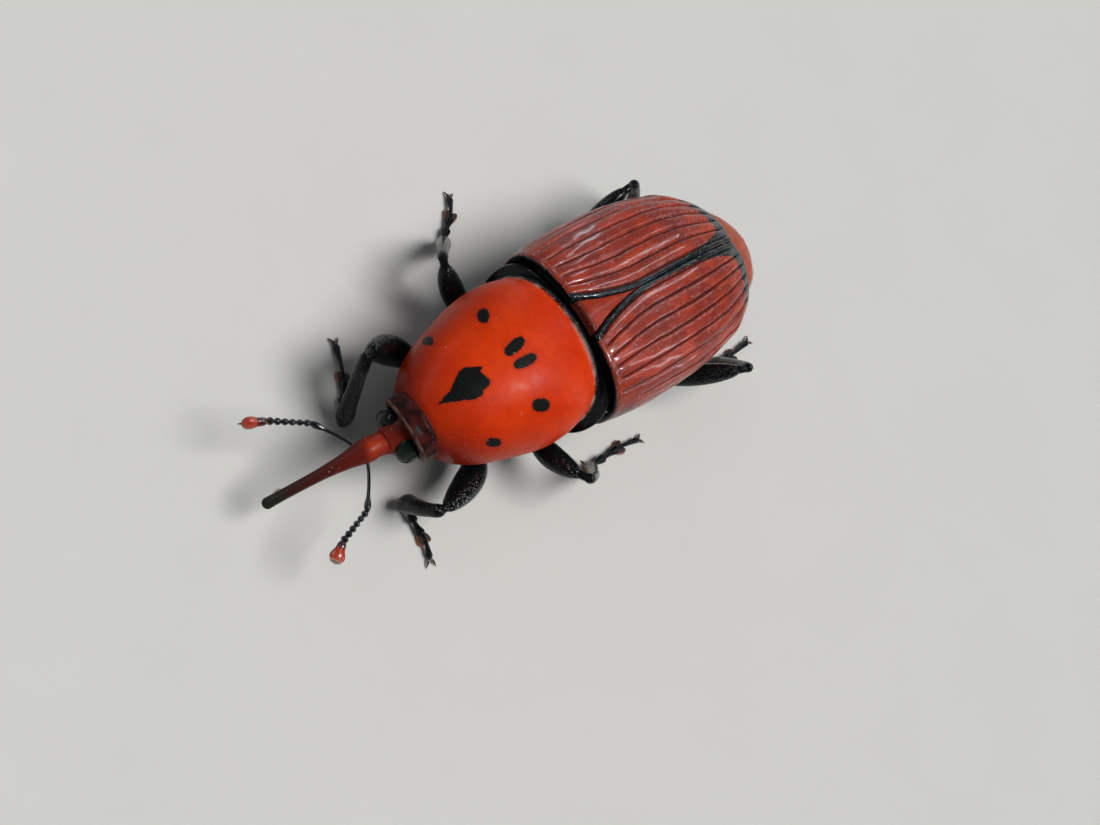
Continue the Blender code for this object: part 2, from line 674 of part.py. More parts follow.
def build_metathorax():
    start, end = METATHORAX_SPAN
    steps = 5
    rings = [hull_section(start + (end - start) * i / steps, UNDER_ELYTRA) for i in range(steps + 1)]
    add_node(combine(loft(rings), coxa_sockets("hind"), "DIFFERENCE"), "metathorax", BLACK_CUTICLE)


def build_abdomen():
    """Five sternites, each fuller at its middle, with a groove between them."""
    start, end = ABDOMEN_SPAN
    length = (end - start) / STERNITES
    rings = []
    for i in range(STERNITES):
        for share, groove in ((0.0, STERNITE_GROOVE), (STERNITE_EDGE, 0.0), (1 - STERNITE_EDGE, 0.0)):
            place = start + length * (i + share)
            rearward = (place - start) / (end - start)
            inset = UNDER_ELYTRA + ABDOMEN_TAPER * rearward
            rings.append(hull_section(place, inset, HIND_LEAN * rearward ** 1.5, groove))
    rings.append(hull_section(end, UNDER_ELYTRA + ABDOMEN_TAPER, HIND_LEAN, STERNITE_GROOVE))
    add_node(loft(rings), "abdomen", BLACK_CUTICLE)


def build_pygidium():
    """The exposed last plate, which closes the hind body below the tips of the elytra."""
    rings = [
        section(
            y, half, low, low + (top - low) * PYGIDIUM_FULLNESS, top, lean, squareness=PYGIDIUM_SQUARENESS,
        )
        for y, half, low, top, lean in PYGIDIUM_STATIONS
    ]
    add_node(loft(rings), "pygidium", RED_CUTICLE)


def hip_point(pair, mirror):
    """The root of a femur, clear of its coxa on the coxa's lower outer side."""
    centre, half_sizes = COXAE[pair]
    x, y, z = HIP_DIRECTIONS[pair]
    direction = Vector((x * mirror, y, z)).normalized()
    scaled = Vector([direction[i] / half_sizes[i] for i in range(3)])
    place = Vector((centre[0] * mirror, centre[1], centre[2]))
    return place + direction * (1 / scaled.length + GAP + HIP_CLEARANCE)


def build_leg(pair, side):
    mirror = 1 if side == "left" else -1
    bend, knee, ankle = [Vector(point) for point in LEG_POINTS[pair, side]]
    pad, claws = [on_floor(point) for point in FOOT_POINTS[pair, side]]
    add_node(coxa_ball(pair, mirror), f"coxa_{pair}_{side}", BLACK_CUTICLE)

    hip = hip_point(pair, mirror)
    direction = (knee - bend).normalized()
    shin = (ankle - knee).normalized()
    leg_plane = direction.cross(shin).normalized()
    thickness = FEMUR_THICKNESS[pair]
    femur_rings = [
        (share, radius * thickness, radius * thickness * FEMUR_FLATNESS) for share, radius in FEMUR_RINGS
    ]
    femur_end = knee - direction * KNEE_FORWARD / 2
    femur = tube((hip, bend, femur_end), femur_rings, LEG_SIDES, leg_plane)
    add_node(femur, f"femur_{pair}_{side}", BLACK_CUTICLE)

    top = femur_end + direction * KNEE_FORWARD + shin * KNEE_DOWN
    middle = (top + ankle) / 2 + direction * TIBIA_BOW * 2
    thickness = TIBIA_THICKNESS[pair]
    tibia_rings = [
        (share, radius * thickness, radius * thickness * TIBIA_FLATNESS) for share, radius in TIBIA_RINGS
    ]
    shaft = tube((top, middle, ankle), tibia_rings, LEG_SIDES, leg_plane)
    _, down = along((top, middle, ankle), 1.0)
    inward = (hip - ankle).normalized()
    root = ankle - down * SPUR_ROOT
    bend = ankle + down * SPUR_DROP + inward * SPUR_REACH
    point = bend + (down * SPUR_SLOPE + inward).normalized() * SPUR_LENGTH
    spur = tube((root, bend, point), SPUR_RINGS, 6, leg_plane)
    add_node(combine(shaft, [spur], "UNION"), f"tibia_{pair}_{side}", BLACK_CUTICLE)
    build_tarsus(ankle, pad, claws, HEEL_CLEARANCE[pair], f"tarsus_{pair}_{side}")


def on_floor(pair):
    return Vector((pair[0], pair[1], 0.0))


def at_level(place, level):
    return Vector((place.x, place.y, level))


def build_tarsus(ankle, pad, claws, clearance, name):
    """Two small segments, a broad two-lobed pad, the long claw segment and two claws."""
    inward_part = (pad - at_level(ankle, 0)).normalized()
    outward_part = (claws - pad).normalized()
    start = at_level(ankle, START_LEVEL) + inward_part * (clearance + GAP)
    heel = at_level(pad - inward_part * PAD_REACH, PAD_LEVEL)
    joint = at_level(start.lerp(heel, 0.5), JOINT_LEVEL)
    pieces = []
    for ends, radii in zip(((start, joint), (joint, heel)), SEGMENT_RADII):
        pieces.append(tube(ends, list(zip(SEGMENT_SHARES, radii)), 8))

    across = Vector((-inward_part.y, inward_part.x, 0))
    facing = math.atan2(inward_part.y, inward_part.x)
    for sign in (1, -1):
        centre = at_level(pad + across * LOBE_OFFSET * sign, LOBE_HALF_SIZE[2] * LOBE_SINK)
        turn = Matrix.Rotation(facing + LOBE_SPREAD * sign, 4, "Z")
        pieces.append(ball(centre, LOBE_HALF_SIZE, turn, 10, 6))

    base = at_level(pad - outward_part * PAD_REACH / 2, PAD_LEVEL)
    claw_root = at_level(claws - outward_part * CLAW_LENGTH * CLAW_REACH, CLAW_ROOT_LEVEL)
    crest = at_level(base.lerp(claw_root, CREST_SHARE), CREST_LEVEL)
    pieces.append(tube((base, crest, claw_root), ONYCHIUM_RINGS, 8))
    across = Vector((-outward_part.y, outward_part.x, 0))
    for sign in (1, -1):
        heading = outward_part * math.cos(CLAW_SPREAD) + across * math.sin(CLAW_SPREAD) * sign
        root = claw_root - heading * CLAW_LENGTH * CLAW_OVERLAP
        middle = claw_root + heading * CLAW_LENGTH * CLAW_BEND + Vector((0, 0, CLAW_ARCH))
        tip = at_level(claw_root + heading * CLAW_LENGTH * CLAW_TIP, CLAW_TIP_LEVEL)
        pieces.append(tube((root, middle, tip), CLAW_RINGS, 6))

    foot = combine(pieces[0], pieces[1:], "UNION")
    below = bmesh.new()
    place = Matrix.Translation(at_level(pad, -FLOOR_CUTTER / 2))
    bmesh.ops.create_cube(below, size=FLOOR_CUTTER, matrix=place)
    add_node(combine(foot, [below], "DIFFERENCE"), name, BLACK_CUTICLE)


clear_scene()
weevil = bpy.data.collections.new("red_palm_weevil")
bpy.context.scene.collection.children.link(weevil)
build_prothorax()
build_head()
build_eyes()
build_rostrum()
for antenna_side in ("left", "right"):
    build_antenna(antenna_side)
build_mesothorax()
build_metathorax()
build_abdomen()
build_pygidium()
build_scutellum()
build_elytra()
for leg_pair, leg_side in LEG_POINTS:
    build_leg(leg_pair, leg_side)
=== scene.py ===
"""Red palm weevil: the dressed model of the standing beetle, on a plain pale floor.

Sizes are in millimetres in the body's own axes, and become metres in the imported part's frame.
The head points to -Y, the insect's left side is +X, and the feet stand at z = 0.
"""
import math

import bpy
import numpy as np
from mathutils import Matrix, Vector


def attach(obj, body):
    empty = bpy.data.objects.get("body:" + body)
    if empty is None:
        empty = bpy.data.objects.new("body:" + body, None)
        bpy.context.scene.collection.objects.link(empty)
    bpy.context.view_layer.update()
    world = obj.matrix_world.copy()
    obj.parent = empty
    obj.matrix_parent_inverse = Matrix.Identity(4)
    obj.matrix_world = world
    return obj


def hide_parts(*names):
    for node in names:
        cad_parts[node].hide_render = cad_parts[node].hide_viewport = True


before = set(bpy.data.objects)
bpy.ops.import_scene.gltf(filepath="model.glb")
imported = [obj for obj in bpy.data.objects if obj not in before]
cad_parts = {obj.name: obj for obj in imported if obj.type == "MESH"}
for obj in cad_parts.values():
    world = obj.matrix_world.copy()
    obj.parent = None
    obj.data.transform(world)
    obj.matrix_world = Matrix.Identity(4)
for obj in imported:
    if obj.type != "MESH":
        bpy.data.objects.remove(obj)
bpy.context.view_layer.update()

MM = 0.001
MEDIAN_X = 2.10
RIM_Y = -0.005

# Camera: its place in the body's axes, its directions, and its lens
CAMERA_PLACE = (11.36, -76.29, 115.38)
CAMERA_RIGHT = (0.5325, 0.7161, 0.4513)
CAMERA_BACK = (0.059, -0.5633, 0.8241)
CAMERA_LENS = 72.0
CAMERA_SENSOR = 36.0
CAMERA_CLIP = (0.005, 10.0)

# Prothorax: distance from the rear rim, half width, underside, widest level, top, lean of the section.
# The edges turn in under both rims. Grooves and swells round it are (size, distance from the rim, width).
PROTHORAX_STATIONS = (
    (0.36, 4.60, 3.00, 6.90, 10.72, -0.24),
    (0.22, 4.86, 2.82, 6.90, 10.95, -0.24),
    (-0.05, 4.94, 2.75, 6.90, 11.02, -0.24),
    (-0.28, 4.92, 2.75, 6.90, 10.95, -0.23),
    (-1.20, 5.14, 2.65, 6.85, 11.16, -0.20),
    (-2.60, 5.16, 2.60, 6.80, 11.20, -0.14),
    (-4.10, 4.96, 2.62, 6.70, 11.08, -0.06),
    (-5.60, 4.66, 2.72, 6.60, 10.80, 0.02),
    (-7.10, 4.28, 2.88, 6.50, 10.38, 0.07),
    (-8.50, 3.76, 3.10, 6.40, 9.86, 0.11),
    (-9.60, 3.12, 3.45, 6.25, 9.30, 0.15),
    (-10.25, 2.50, 3.75, 6.15, 8.86, 0.18),
    (-10.62, 2.18, 3.90, 6.10, 8.58, 0.22),
    (-10.90, 2.12, 3.95, 6.08, 8.46, 0.27),
    (-11.55, 2.14, 3.92, 6.02, 8.24, 0.40),
    (-11.80, 2.04, 3.98, 6.00, 8.06, 0.45),
)
PROTHORAX_REAR_EDGE = (
    (-0.20, 4.15, 3.40, 6.9, 10.26, -0.24), (0.10, 4.25, 3.30, 6.9, 10.36, -0.24),
    (0.30, 4.40, 3.15, 6.9, 10.52, -0.24),
)
PROTHORAX_FRONT_EDGE = (
    (-11.86, 1.94, 4.08, 6.0, 7.96, 0.46), (-11.80, 1.84, 4.18, 6.0, 7.86, 0.46),
    (-11.40, 1.76, 4.26, 6.0, 7.78, 0.44), (-10.90, 1.74, 4.28, 6.0, 7.76, 0.42),
)
PROTHORAX_SWELLS = ((0.05, -0.02, 0.13), (0.05, -10.92, 0.16), (0.05, -11.72, 0.08))
PROTHORAX_GROOVES = ((0.05, -0.36, 0.09), (0.10, -10.58, 0.14), (0.03, -11.30, 0.20))
PROTHORAX_SQUARENESS = 2.25
SPOT_SQUARENESS = 2.5
PROTHORAX_YAW = math.radians(1.4)
COLLAR_LINE = -10.62
RIM_LINE = -0.16
FRONT_LIP = -11.77

# Black marks on the pronotum: a spade that points forward, and six spots (centre and two half axes)
SPADE = (
    (0.14, -9.89), (-0.19, -9.00), (-0.86, -8.05), (-0.86, -7.65), (-0.55, -7.05), (-0.38, -6.86),
    (-0.17, -7.09), (0.18, -6.98), (0.58, -6.88), (0.75, -7.02), (0.81, -7.46), (1.07, -7.65),
    (1.04, -8.07), (0.76, -8.62), (0.42, -9.34),
)
SPADE_LOWEST = 7.5
SPOTS = (
    ((-0.45, -4.55, 10.95), (-0.16, 0.775, 0.12), (0.335, 0.053, 0.030)),
    ((0.59, -4.48, 10.96), (0.04, 0.76, 0.12), (0.325, -0.017, -0.023)),
    ((-3.00, -4.71, 10.17), (0.185, 0.225, 0.175), (0.40, -0.38, 0.155)),
    ((3.19, -4.63, 10.17), (0.25, 0.535, -0.02), (0.31, -0.09, -0.23)),
    ((-3.45, -7.63, 8.22), (0.215, 0.015, 0.475), (0.27, -0.32, 0.235)),
    ((3.575, -7.71, 8.52), (0.215, 0.44, -0.01), (0.205, 0.04, -0.32)),
)
SPOT_DEPTH = 1.2
NO_MARK = 9.0

# Head and rostrum: places and radii along the head, then the rostrum's path and its half widths and heights
HEAD_YAW = math.radians(-4.9)
HEAD_RINGS = ((-0.30, 1.40), (0.20, 1.44), (0.60, 1.30), (0.95, 1.10), (1.25, 0.90), (1.48, 0.76))
HEAD_LIFT = 0.30
HEAD_START = -0.45
HEAD_RUN = 0.42
HEAD_CUT = -0.02
NECK_SETBACK = 0.16
NECK_HALF_SIZE = (1.88, 1.88, 0.20)
ROSTRUM_PATH = ((0.0, -12.84, 5.79), (0.0, -16.20, 4.85), (0.0, -19.72, 2.78))
ROSTRUM_RINGS = (
    (0.00, 0.66, 0.66), (0.06, 0.75, 0.72), (0.12, 0.75, 0.72), (0.18, 0.66, 0.64), (0.26, 0.54, 0.54),
    (0.36, 0.45, 0.46), (0.50, 0.37, 0.39), (0.65, 0.34, 0.35), (0.80, 0.33, 0.34), (0.90, 0.34, 0.34),
    (0.96, 0.36, 0.33),
)
EYE_PLACE = (1.03, -11.34, 6.14)
EYE_HALF_SIZE = (0.67, 0.86, 1.05)
EYE_LEAN = math.radians(24)
EYE_PITCH = math.radians(20)
# Grooves for the feelers (places round the rostrum in degrees), the ridge on top, and a tuft near the tip
SCROBE_PLACES = (200, 340)
SCROBE_DEPTH = 0.07
SNOUT_RIDGE = 0.02
TUFT_PLACE = 0.84
TUFT_SIDE = (-0.84, 0.41, 0.34)

# Antennae: insertion beside the rostrum, elbow, end of the bead chain, tip of the club
ANTENNA_POINTS = {
    "right": ((-1.00, -13.98, 5.22), (-2.87, -15.28, 5.00), (-4.18, -17.53, 4.85), (-4.77, -18.90, 4.60)),
    "left": ((1.26, -13.80, 5.30), (3.12, -15.20, 5.00), (3.92, -17.42, 4.75), (4.72, -18.45, 4.50)),
}
SCAPE_ROOT = 0.55
SCAPE_SETBACK = 0.25
SCAPE_RADII = ((0.0, 0.10), (0.55, 0.10), (0.80, 0.12), (0.90, 0.20), (0.96, 0.20), (1.0, 0.13))
BEAD_RADII = (0.21, 0.19, 0.20, 0.21, 0.22, 0.24)
BEAD_PROFILE = ((0.0, 0.52), (0.22, 0.86), (0.52, 1.0), (0.80, 0.90), (1.0, 0.60))
CHAIN_START = 0.24
CHAIN_END = 0.16
STALK_RADII = ((0.0, 0.09), (1.0, 0.10))
CLUB_RINGS = (
    (0.00, 0.10, 0.10), (0.08, 0.20, 0.19), (0.20, 0.27, 0.25), (0.32, 0.28, 0.25), (0.42, 0.32, 0.27),
    (0.56, 0.42, 0.31), (0.70, 0.47, 0.32), (0.82, 0.45, 0.29), (0.91, 0.35, 0.22), (0.97, 0.20, 0.13),
    (1.00, 0.06, 0.05),
)
CLUB_ROLL = {"right": (1.0, 0.0, 0.3), "left": (0.0, 0.0, 1.0)}
CLUB_POINT_RADII = ((0.0, 0.09), (0.5, 0.05), (1.0, 0.012))
NAP_START = 0.89
RIGHT_CLUB_COLOURS = 0.88
DARK_POINT = 2.0

# Hind body: the outer surface over the closed elytra, as (distance behind the rim, value) pairs
HALF_WIDTHS = (
    (0.6, 5.66), (2.5, 5.94), (5.2, 6.05), (8.4, 5.90), (10.9, 5.52), (13.0, 4.97), (14.9, 4.12),
    (16.3, 3.20), (17.6, 2.00),
)
TOPS = ((0.6, 10.90), (3.0, 11.18), (8.0, 11.14), (10.5, 10.78), (13.0, 9.92), (15.8, 8.55), (17.6, 7.20))
WIDEST_LEVELS = ((0.6, 7.30), (8.0, 7.40), (12.0, 7.10), (15.0, 6.50), (17.6, 5.80))
UNDERSIDES = ((0.6, 2.75), (4.0, 2.40), (9.0, 2.35), (13.0, 2.80), (15.5, 3.60), (17.6, 4.90))
HULL_SQUARENESS = 2.45
UNDER_ELYTRA = 0.62

# Elytra: edges, margin bead, grooved rows and black margins
ELYTRA_BASE = 0.78
ELYTRON_EDGE_ANGLE = math.radians(-24)
HALF_SUTURE = 0.02
SHOULDER_SWEEP = 0.35
INNER_MARGIN = ((1.0, 1.22), (1.6, 0.98), (2.3, 0.68), (3.5, 0.33), (4.6, 0.11), (5.5, HALF_SUTURE))
STRIAE = 10
STRIA_DEPTH = 0.14
STRIA_WIDTH = 0.062
STRIA_WANDER = 0.020
INTERVAL_SWELL = 0.075
BEAD_WIDTH = 0.40
BEAD_HEIGHT = 0.07
# Turned edges, as (share across, offset in the bead, height) columns and (inward shift, height) rows
INNER_EDGE = ((0.0, 0.05, -0.45), (0.0, 0.01, -0.25), (0.0, 0.00, -0.08), (0.0, 0.03, 0.01))
OUTER_EDGE = ((1.0, BEAD_WIDTH, -0.05), (1.0, BEAD_WIDTH, -0.18), (1.0, BEAD_WIDTH, -0.36))
BASE_EDGE = ((0.16, -0.45), (0.05, -0.28), (0.00, -0.14), (0.02, -0.06), (0.08, -0.015))
REAR_EDGE = ((0.12, -0.005), (0.04, -0.04), (0.00, -0.12), (0.04, -0.28), (0.14, -0.45))
PUNCTURE_SPACING = 0.34
RIDGE_BESIDE_GROOVE = (0.165, 0.050)
CREST_BESIDE_GROOVE = (0.17, 0.08)
REAR_MARGIN = ((0.0, 15.72), (0.12, 15.92), (0.30, 15.62), (0.50, 15.00), (0.75, 14.20), (1.0, 13.50))
BLACK_ALONG_SUTURE = (
    (1.0, 0.44), (5.0, 0.40), (6.5, 0.26), (9.0, 0.30), (11.5, 0.42), (13.5, 0.68), (15.0, 1.05),
)
BLACK_AT_BASE = 0.03
TURNED_UNDER = -0.02
BLACK_EDGE = -0.10
WELL_INSIDE = -0.3
DEEPEST_EDGE = -0.5
BLACK_AT_APEX = ((0.0, 1.35), (0.3, 1.20), (0.6, 1.00), (1.0, 0.55))

# Thorax and abdomen under the elytra
MESOTHORAX_SPAN = (0.78, 3.0)
MESOTHORAX_LEAN = -0.24
MESOTHORAX_RINGS = (
    (-0.70, 3.90, 4.00, 6.6, 9.30), (-0.10, 4.90, 3.20, 6.6, 9.70),
    (0.00, 5.16, 3.05, 6.6, 9.75), (0.12, 5.50, 2.85, 6.6, 9.85), (0.36, 5.56, 2.78, 6.6, 9.88),
    (0.52, 5.40, 2.76, 6.8, 10.00), (0.80, 5.28, 2.70, 7.0, 10.15),
)
METATHORAX_SPAN = (3.0, 8.25)
MEDIAN_FURROW = 0.10
ABDOMEN_SPAN = (8.25, 14.9)
STERNITES = 5
STERNITE_GROOVE = 0.13
HIND_LEAN = 0.30
ABDOMEN_TAPER = 0.24

# Pygidium: distance behind the rim, half width, underside, top, lean of the section
PYGIDIUM_STATIONS = (
    (14.60, 3.30, 3.60, 8.00, 0.30), (15.14, 3.12, 3.80, 7.92, 0.30), (15.70, 3.08, 3.84, 7.80, 0.26),
    (16.40, 3.06, 3.92, 7.62, 0.20), (17.05, 2.92, 4.06, 7.28, 0.14), (17.70, 2.54, 4.26, 6.88, 0.09),
    (18.28, 2.00, 4.50, 6.46, 0.05), (18.75, 1.36, 4.74, 6.06, 0.02), (19.02, 0.70, 4.98, 5.74, 0.00),
)
PYGIDIUM_FULLNESS = 0.42
PYGIDIUM_SQUARENESS = 2.2
FRINGE_LAY = (0.0, 1.0, -0.25)
FRINGE_START = 16.6
KEEL_HEIGHT = 0.05

# Legs: coxae, the directions that the femora leave them in, and the stance
COXAE = {
    "front": ((1.50, -4.30, 2.95), (1.10, 1.15, 1.05)),
    "middle": ((2.35, -0.15, 2.80), (0.95, 0.95, 0.90)),
    "hind": ((3.05, 7.05, 2.80), (1.25, 0.75, 0.80)),
}
HIP_DIRECTIONS = {"front": (0.78, -0.44, -0.48), "middle": (0.86, -0.12, -0.50), "hind": (0.55, 0.60, -0.58)}
HIP_REACH = 0.54
TROCHANTER_RADII = ((0.0, 0.36), (0.5, 0.42), (1.0, 0.34))
TROCHANTER_DEPTH = 0.75
TROCHANTER_REACH = 0.35
LEG_POINTS = {
    ("front", "right"): ((-5.21, -6.46, 2.60), (-4.77, -10.18, 6.38), (-2.61, -11.05, 0.95)),
    ("front", "left"): ((4.40, -5.60, 2.30), (5.30, -10.60, 4.95), (3.50, -10.45, 0.95)),
    ("middle", "right"): ((-5.75, -1.20, 3.10), (-7.50, -2.15, 5.80), (-9.50, 1.90, 1.00)),
    ("middle", "left"): ((4.93, -2.00, 3.10), (7.83, -1.65, 5.55), (7.40, 2.15, 1.00)),
    ("hind", "right"): ((-5.90, 9.80, 3.00), (-6.59, 13.30, 5.60), (-5.90, 15.90, 0.95)),
    ("hind", "left"): ((5.75, 10.10, 3.90), (7.30, 12.70, 6.25), (5.74, 15.10, 0.95)),
}
FOOT_POINTS = {
    ("front", "right"): ((-5.02, -9.12), (-7.52, -8.15)),
    ("front", "left"): ((5.87, -10.30), (7.60, -10.80)),
    ("middle", "right"): ((-11.05, 3.97), (-12.55, 4.95)),
    ("middle", "left"): ((7.28, 5.46), (7.52, 7.55)),
    ("hind", "right"): ((-5.50, 17.85), (-4.90, 19.70)),
    ("hind", "left"): ((5.88, 17.32), (5.58, 19.60)),
}
FEMUR_RINGS = (
    (0.00, 0.26), (0.05, 0.38), (0.14, 0.42), (0.24, 0.52), (0.42, 0.68), (0.62, 0.76), (0.80, 0.69),
    (0.91, 0.56), (0.97, 0.45), (1.00, 0.36),
)
FEMUR_THICKNESS = {"front": 1.28, "middle": 1.20, "hind": 1.10}
FEMUR_FLATNESS = 0.84
KNEE_FORWARD = 0.88
KNEE_DOWN = 0.22
CONDYLE_RADII = ((0.0, 0.26), (0.5, 0.27), (1.0, 0.26))
TIBIA_RINGS = (
    (0.00, 0.24), (0.04, 0.30), (0.12, 0.32), (0.28, 0.32), (0.50, 0.36), (0.75, 0.40), (0.92, 0.45),
    (1.00, 0.36),
)
TIBIA_THICKNESS = {"front": 1.42, "middle": 1.20, "hind": 1.20}
TIBIA_FLATNESS = 0.90
TIBIA_BOW = 0.30
SPUR_LENGTH = 0.75
SPUR_RINGS = ((0.0, 0.15), (0.4, 0.14), (0.8, 0.07), (1.0, 0.02))

# Feet
HEEL_CLEARANCE = 0.30
START_LEVEL = 0.72
JOINT_LEVEL = 0.50
PAD_LEVEL = 0.36
CREST_LEVEL = 0.50
CLAW_ROOT_LEVEL = 0.26
CLAW_TIP_LEVEL = 0.03
PAD_REACH = 0.34
ANKLE_SOCKET_RADII = ((0.0, 0.20), (1.0, 0.14))
SEGMENT_RINGS = ((0.0, 0.10), (0.12, 0.15), (0.45, 0.17), (0.80, 0.27), (0.95, 0.29), (1.0, 0.22))
LOBE_HALF_SIZE = (0.42, 0.22, 0.19)
LOBE_SPREAD = math.radians(20)
LOBE_OFFSET = 0.20
LOBE_LEVEL = 0.22
SOLE_LEVEL = 0.075
SOLE_BAND = (0.36, 0.22)
BRISTLE_BAND = (0.08, 0.20)
BRISTLE_FALL = 0.35
ONYCHIUM_RINGS = ((0.0, 0.09), (0.3, 0.12), (0.7, 0.17), (0.92, 0.21), (1.0, 0.14))
CLAW_LENGTH = 0.72
CLAW_REACH = 0.76
CLAW_ARCH = 0.10
CLAW_SPREAD = math.radians(32)
CLAW_RINGS = ((0.0, 0.10), (0.3, 0.10), (0.7, 0.055), (1.0, 0.015))

# Hairs: how far they follow the surface's outward direction and the lay, at the root and then at the tip
NAP = (1.0, 1.0, 0.5, 1.4)
FRINGE = (0.6, 1.0, 0.1, 1.0)
LYING = (0.5, 1.0, 0.1, 1.0)
BRUSH = (1.0, 0.7, 0.4, 1.0)
HAIR_LAY = 0.9
FEMUR_HAIRS = {"front": (0.62, 110), "middle": (0.76, 60), "hind": (0.76, 60)}
# How much dust and painted glint each pair's femora get.
FEMUR_DUST_AND_GLINTS = {"front": 1.0, "middle": 1.0, "hind": 0.2}

# Floor in metres: how far it lies flat, its edge, and how steeply it rises between them
FLOOR_FLAT = 0.30
FLOOR_EDGE = 3.0
FLOOR_RISE = 0.55

# Lamps: kind, place, width (an angle for the sun, two sides for an area), power, colour, which rays see them
WORLD_COLOUR = (0.86, 0.93, 1.0, 1.0)
WORLD_STRENGTH = 0.10
LAMPS = (
    ("key", "SUN", (0.16, 0.08, 0.42), math.radians(34), 2.70, (1.0, 0.985, 0.96), "diffuse"),
    ("fill", "SUN", (-0.30, -0.20, 0.26), math.radians(60), 0.50, (0.90, 0.95, 1.0), "diffuse"),
    ("strip_front", "AREA", (-0.36, -0.20, 0.25), (0.40, 0.016), 0.50, (0.78, 0.90, 1.0), "glossy"),
    ("strip_rear", "AREA", (-0.05, 0.30, 0.36), (0.020, 0.46), 0.50, (0.86, 0.94, 1.0), "glossy"),
    ("strip_left", "AREA", (0.31, 0.26, 0.22), (0.024, 0.44), 0.45, (0.88, 0.95, 1.0), "glossy"),
    ("strip_right", "AREA", (-0.33, 0.26, 0.19), (0.018, 0.36), 0.30, (0.82, 0.92, 1.0), "glossy"),
    ("sparkle", "AREA", (0.16, 0.08, 0.42), (0.03, 0.03), 1.50, (0.95, 0.98, 1.0), "glossy"),
)

DENSITY = 1.0
HAIR_SHARE = 1.0
HAIR_ROWS, HAIR_SIDES = 4, 3
HAIR_SEED = 20
CAP_ROWS = 7
SNOUT_CAP_ROWS = 9
WALK_STEPS = 120
WALK_BATCH = 8192


def count_of(full):
    return max(8, int(full * DENSITY))


# ---- Curves and surfaces

def curves_through(rows):
    """A smooth function of position through rows of (position, value, value, ...)."""
    table = np.array(sorted(rows), float)
    places, values = table[:, 0], table[:, 1:]
    slopes = np.empty_like(values)
    slopes[1:-1] = (values[2:] - values[:-2]) / (places[2:] - places[:-2])[:, None]
    slopes[0] = (values[1] - values[0]) / (places[1] - places[0])
    slopes[-1] = (values[-1] - values[-2]) / (places[-1] - places[-2])

    def values_at(place):
        place = np.asarray(place, float)
        i = np.clip(np.searchsorted(places, place, side="right") - 1, 0, len(places) - 2)
        width = (places[i + 1] - places[i])[..., None]
        t = np.clip((place - places[i])[..., None] / width, 0.0, 1.0)
        inside = (
            (1 + 2 * t) * (1 - t) ** 2 * values[i] + t * (1 - t) ** 2 * width * slopes[i]
            + t * t * (3 - 2 * t) * values[i + 1] + t * t * (t - 1) * width * slopes[i + 1]
        )
        below = np.minimum(place - places[0], 0.0)[..., None] * slopes[0]
        beyond = np.maximum(place - places[-1], 0.0)[..., None] * slopes[-1]
        return inside + below + beyond

    return values_at


def curve_through(rows):
    values_at = curves_through(rows)
    return lambda place: values_at(place)[..., 0]


half_width_at = curve_through(HALF_WIDTHS)
top_at = curve_through(TOPS)
widest_at = curve_through(WIDEST_LEVELS)
underside_at = curve_through(UNDERSIDES)
rear_margin_at = curve_through(REAR_MARGIN)
inner_margin_at = curve_through(INNER_MARGIN)
black_suture_at = curve_through(BLACK_ALONG_SUTURE)
black_apex_at = curve_through(BLACK_AT_APEX)


def smooth_step(value, low, high):
    t = np.clip((value - low) / (high - low), 0.0, 1.0)
    return t * t * (3 - 2 * t)


def hump(value, centre, width):
    return np.exp(-((value - centre) / width) ** 2)


def oval(angle, squareness):
    """Cosine and sine of a section, filled out towards its corners as the squareness asks."""
    fullness = 2 ** (0.5 - 1 / squareness) - 1
    radius = 1 + fullness * (1 - np.cos(4 * angle)) / 2
    return radius * np.cos(angle), radius * np.sin(angle)


def section(y, half_width, low, widest, top, lean, angle, squareness):
    """Points of closed cross-sections of the body; the angle starts at the left side and rises."""
    across, up = oval(angle, squareness)
    rise = np.where(up > 0, top - widest, widest - low)
    z = widest + rise * up
    return np.stack((half_width * across, y + lean * (top - z), z), -1)


def circle(sides):
    """Angles evenly round a ring."""
    return np.linspace(0, 2 * math.pi, sides, endpoint=False)


def humps(value, table):
    return sum(height * hump(value, centre, width) for height, centre, width in table)


def unit(vectors):
    return vectors / np.maximum(np.linalg.norm(vectors, axis=-1, keepdims=True), 1e-9)


def along(path, share):
    """Points and directions on a straight or once-bent path, at shares of its length."""
    points = [np.array(point, float) for point in path]
    share = np.asarray(share, float)[..., None]
    if len(points) == 2:
        centre = points[0] + (points[1] - points[0]) * share
        return centre, unit(np.broadcast_to(points[1] - points[0], centre.shape))
    first = points[0] + (points[1] - points[0]) * share
    second = points[1] + (points[2] - points[1]) * share
    return first + (second - first) * share, unit(second - first)


def tube(centre, direction, upward, size, angle, change=1.0):
    """Rings round a line of centres, each with its half width and half height."""
    side = unit(np.cross(direction, np.array(upward, float)))
    top = np.cross(side, direction)
    return centre[:, None, :] + change * (
        side[:, None, :] * (size[:, 0, None] * np.cos(angle))[..., None]
        + top[:, None, :] * (size[:, 1, None] * np.sin(angle))[..., None]
    )


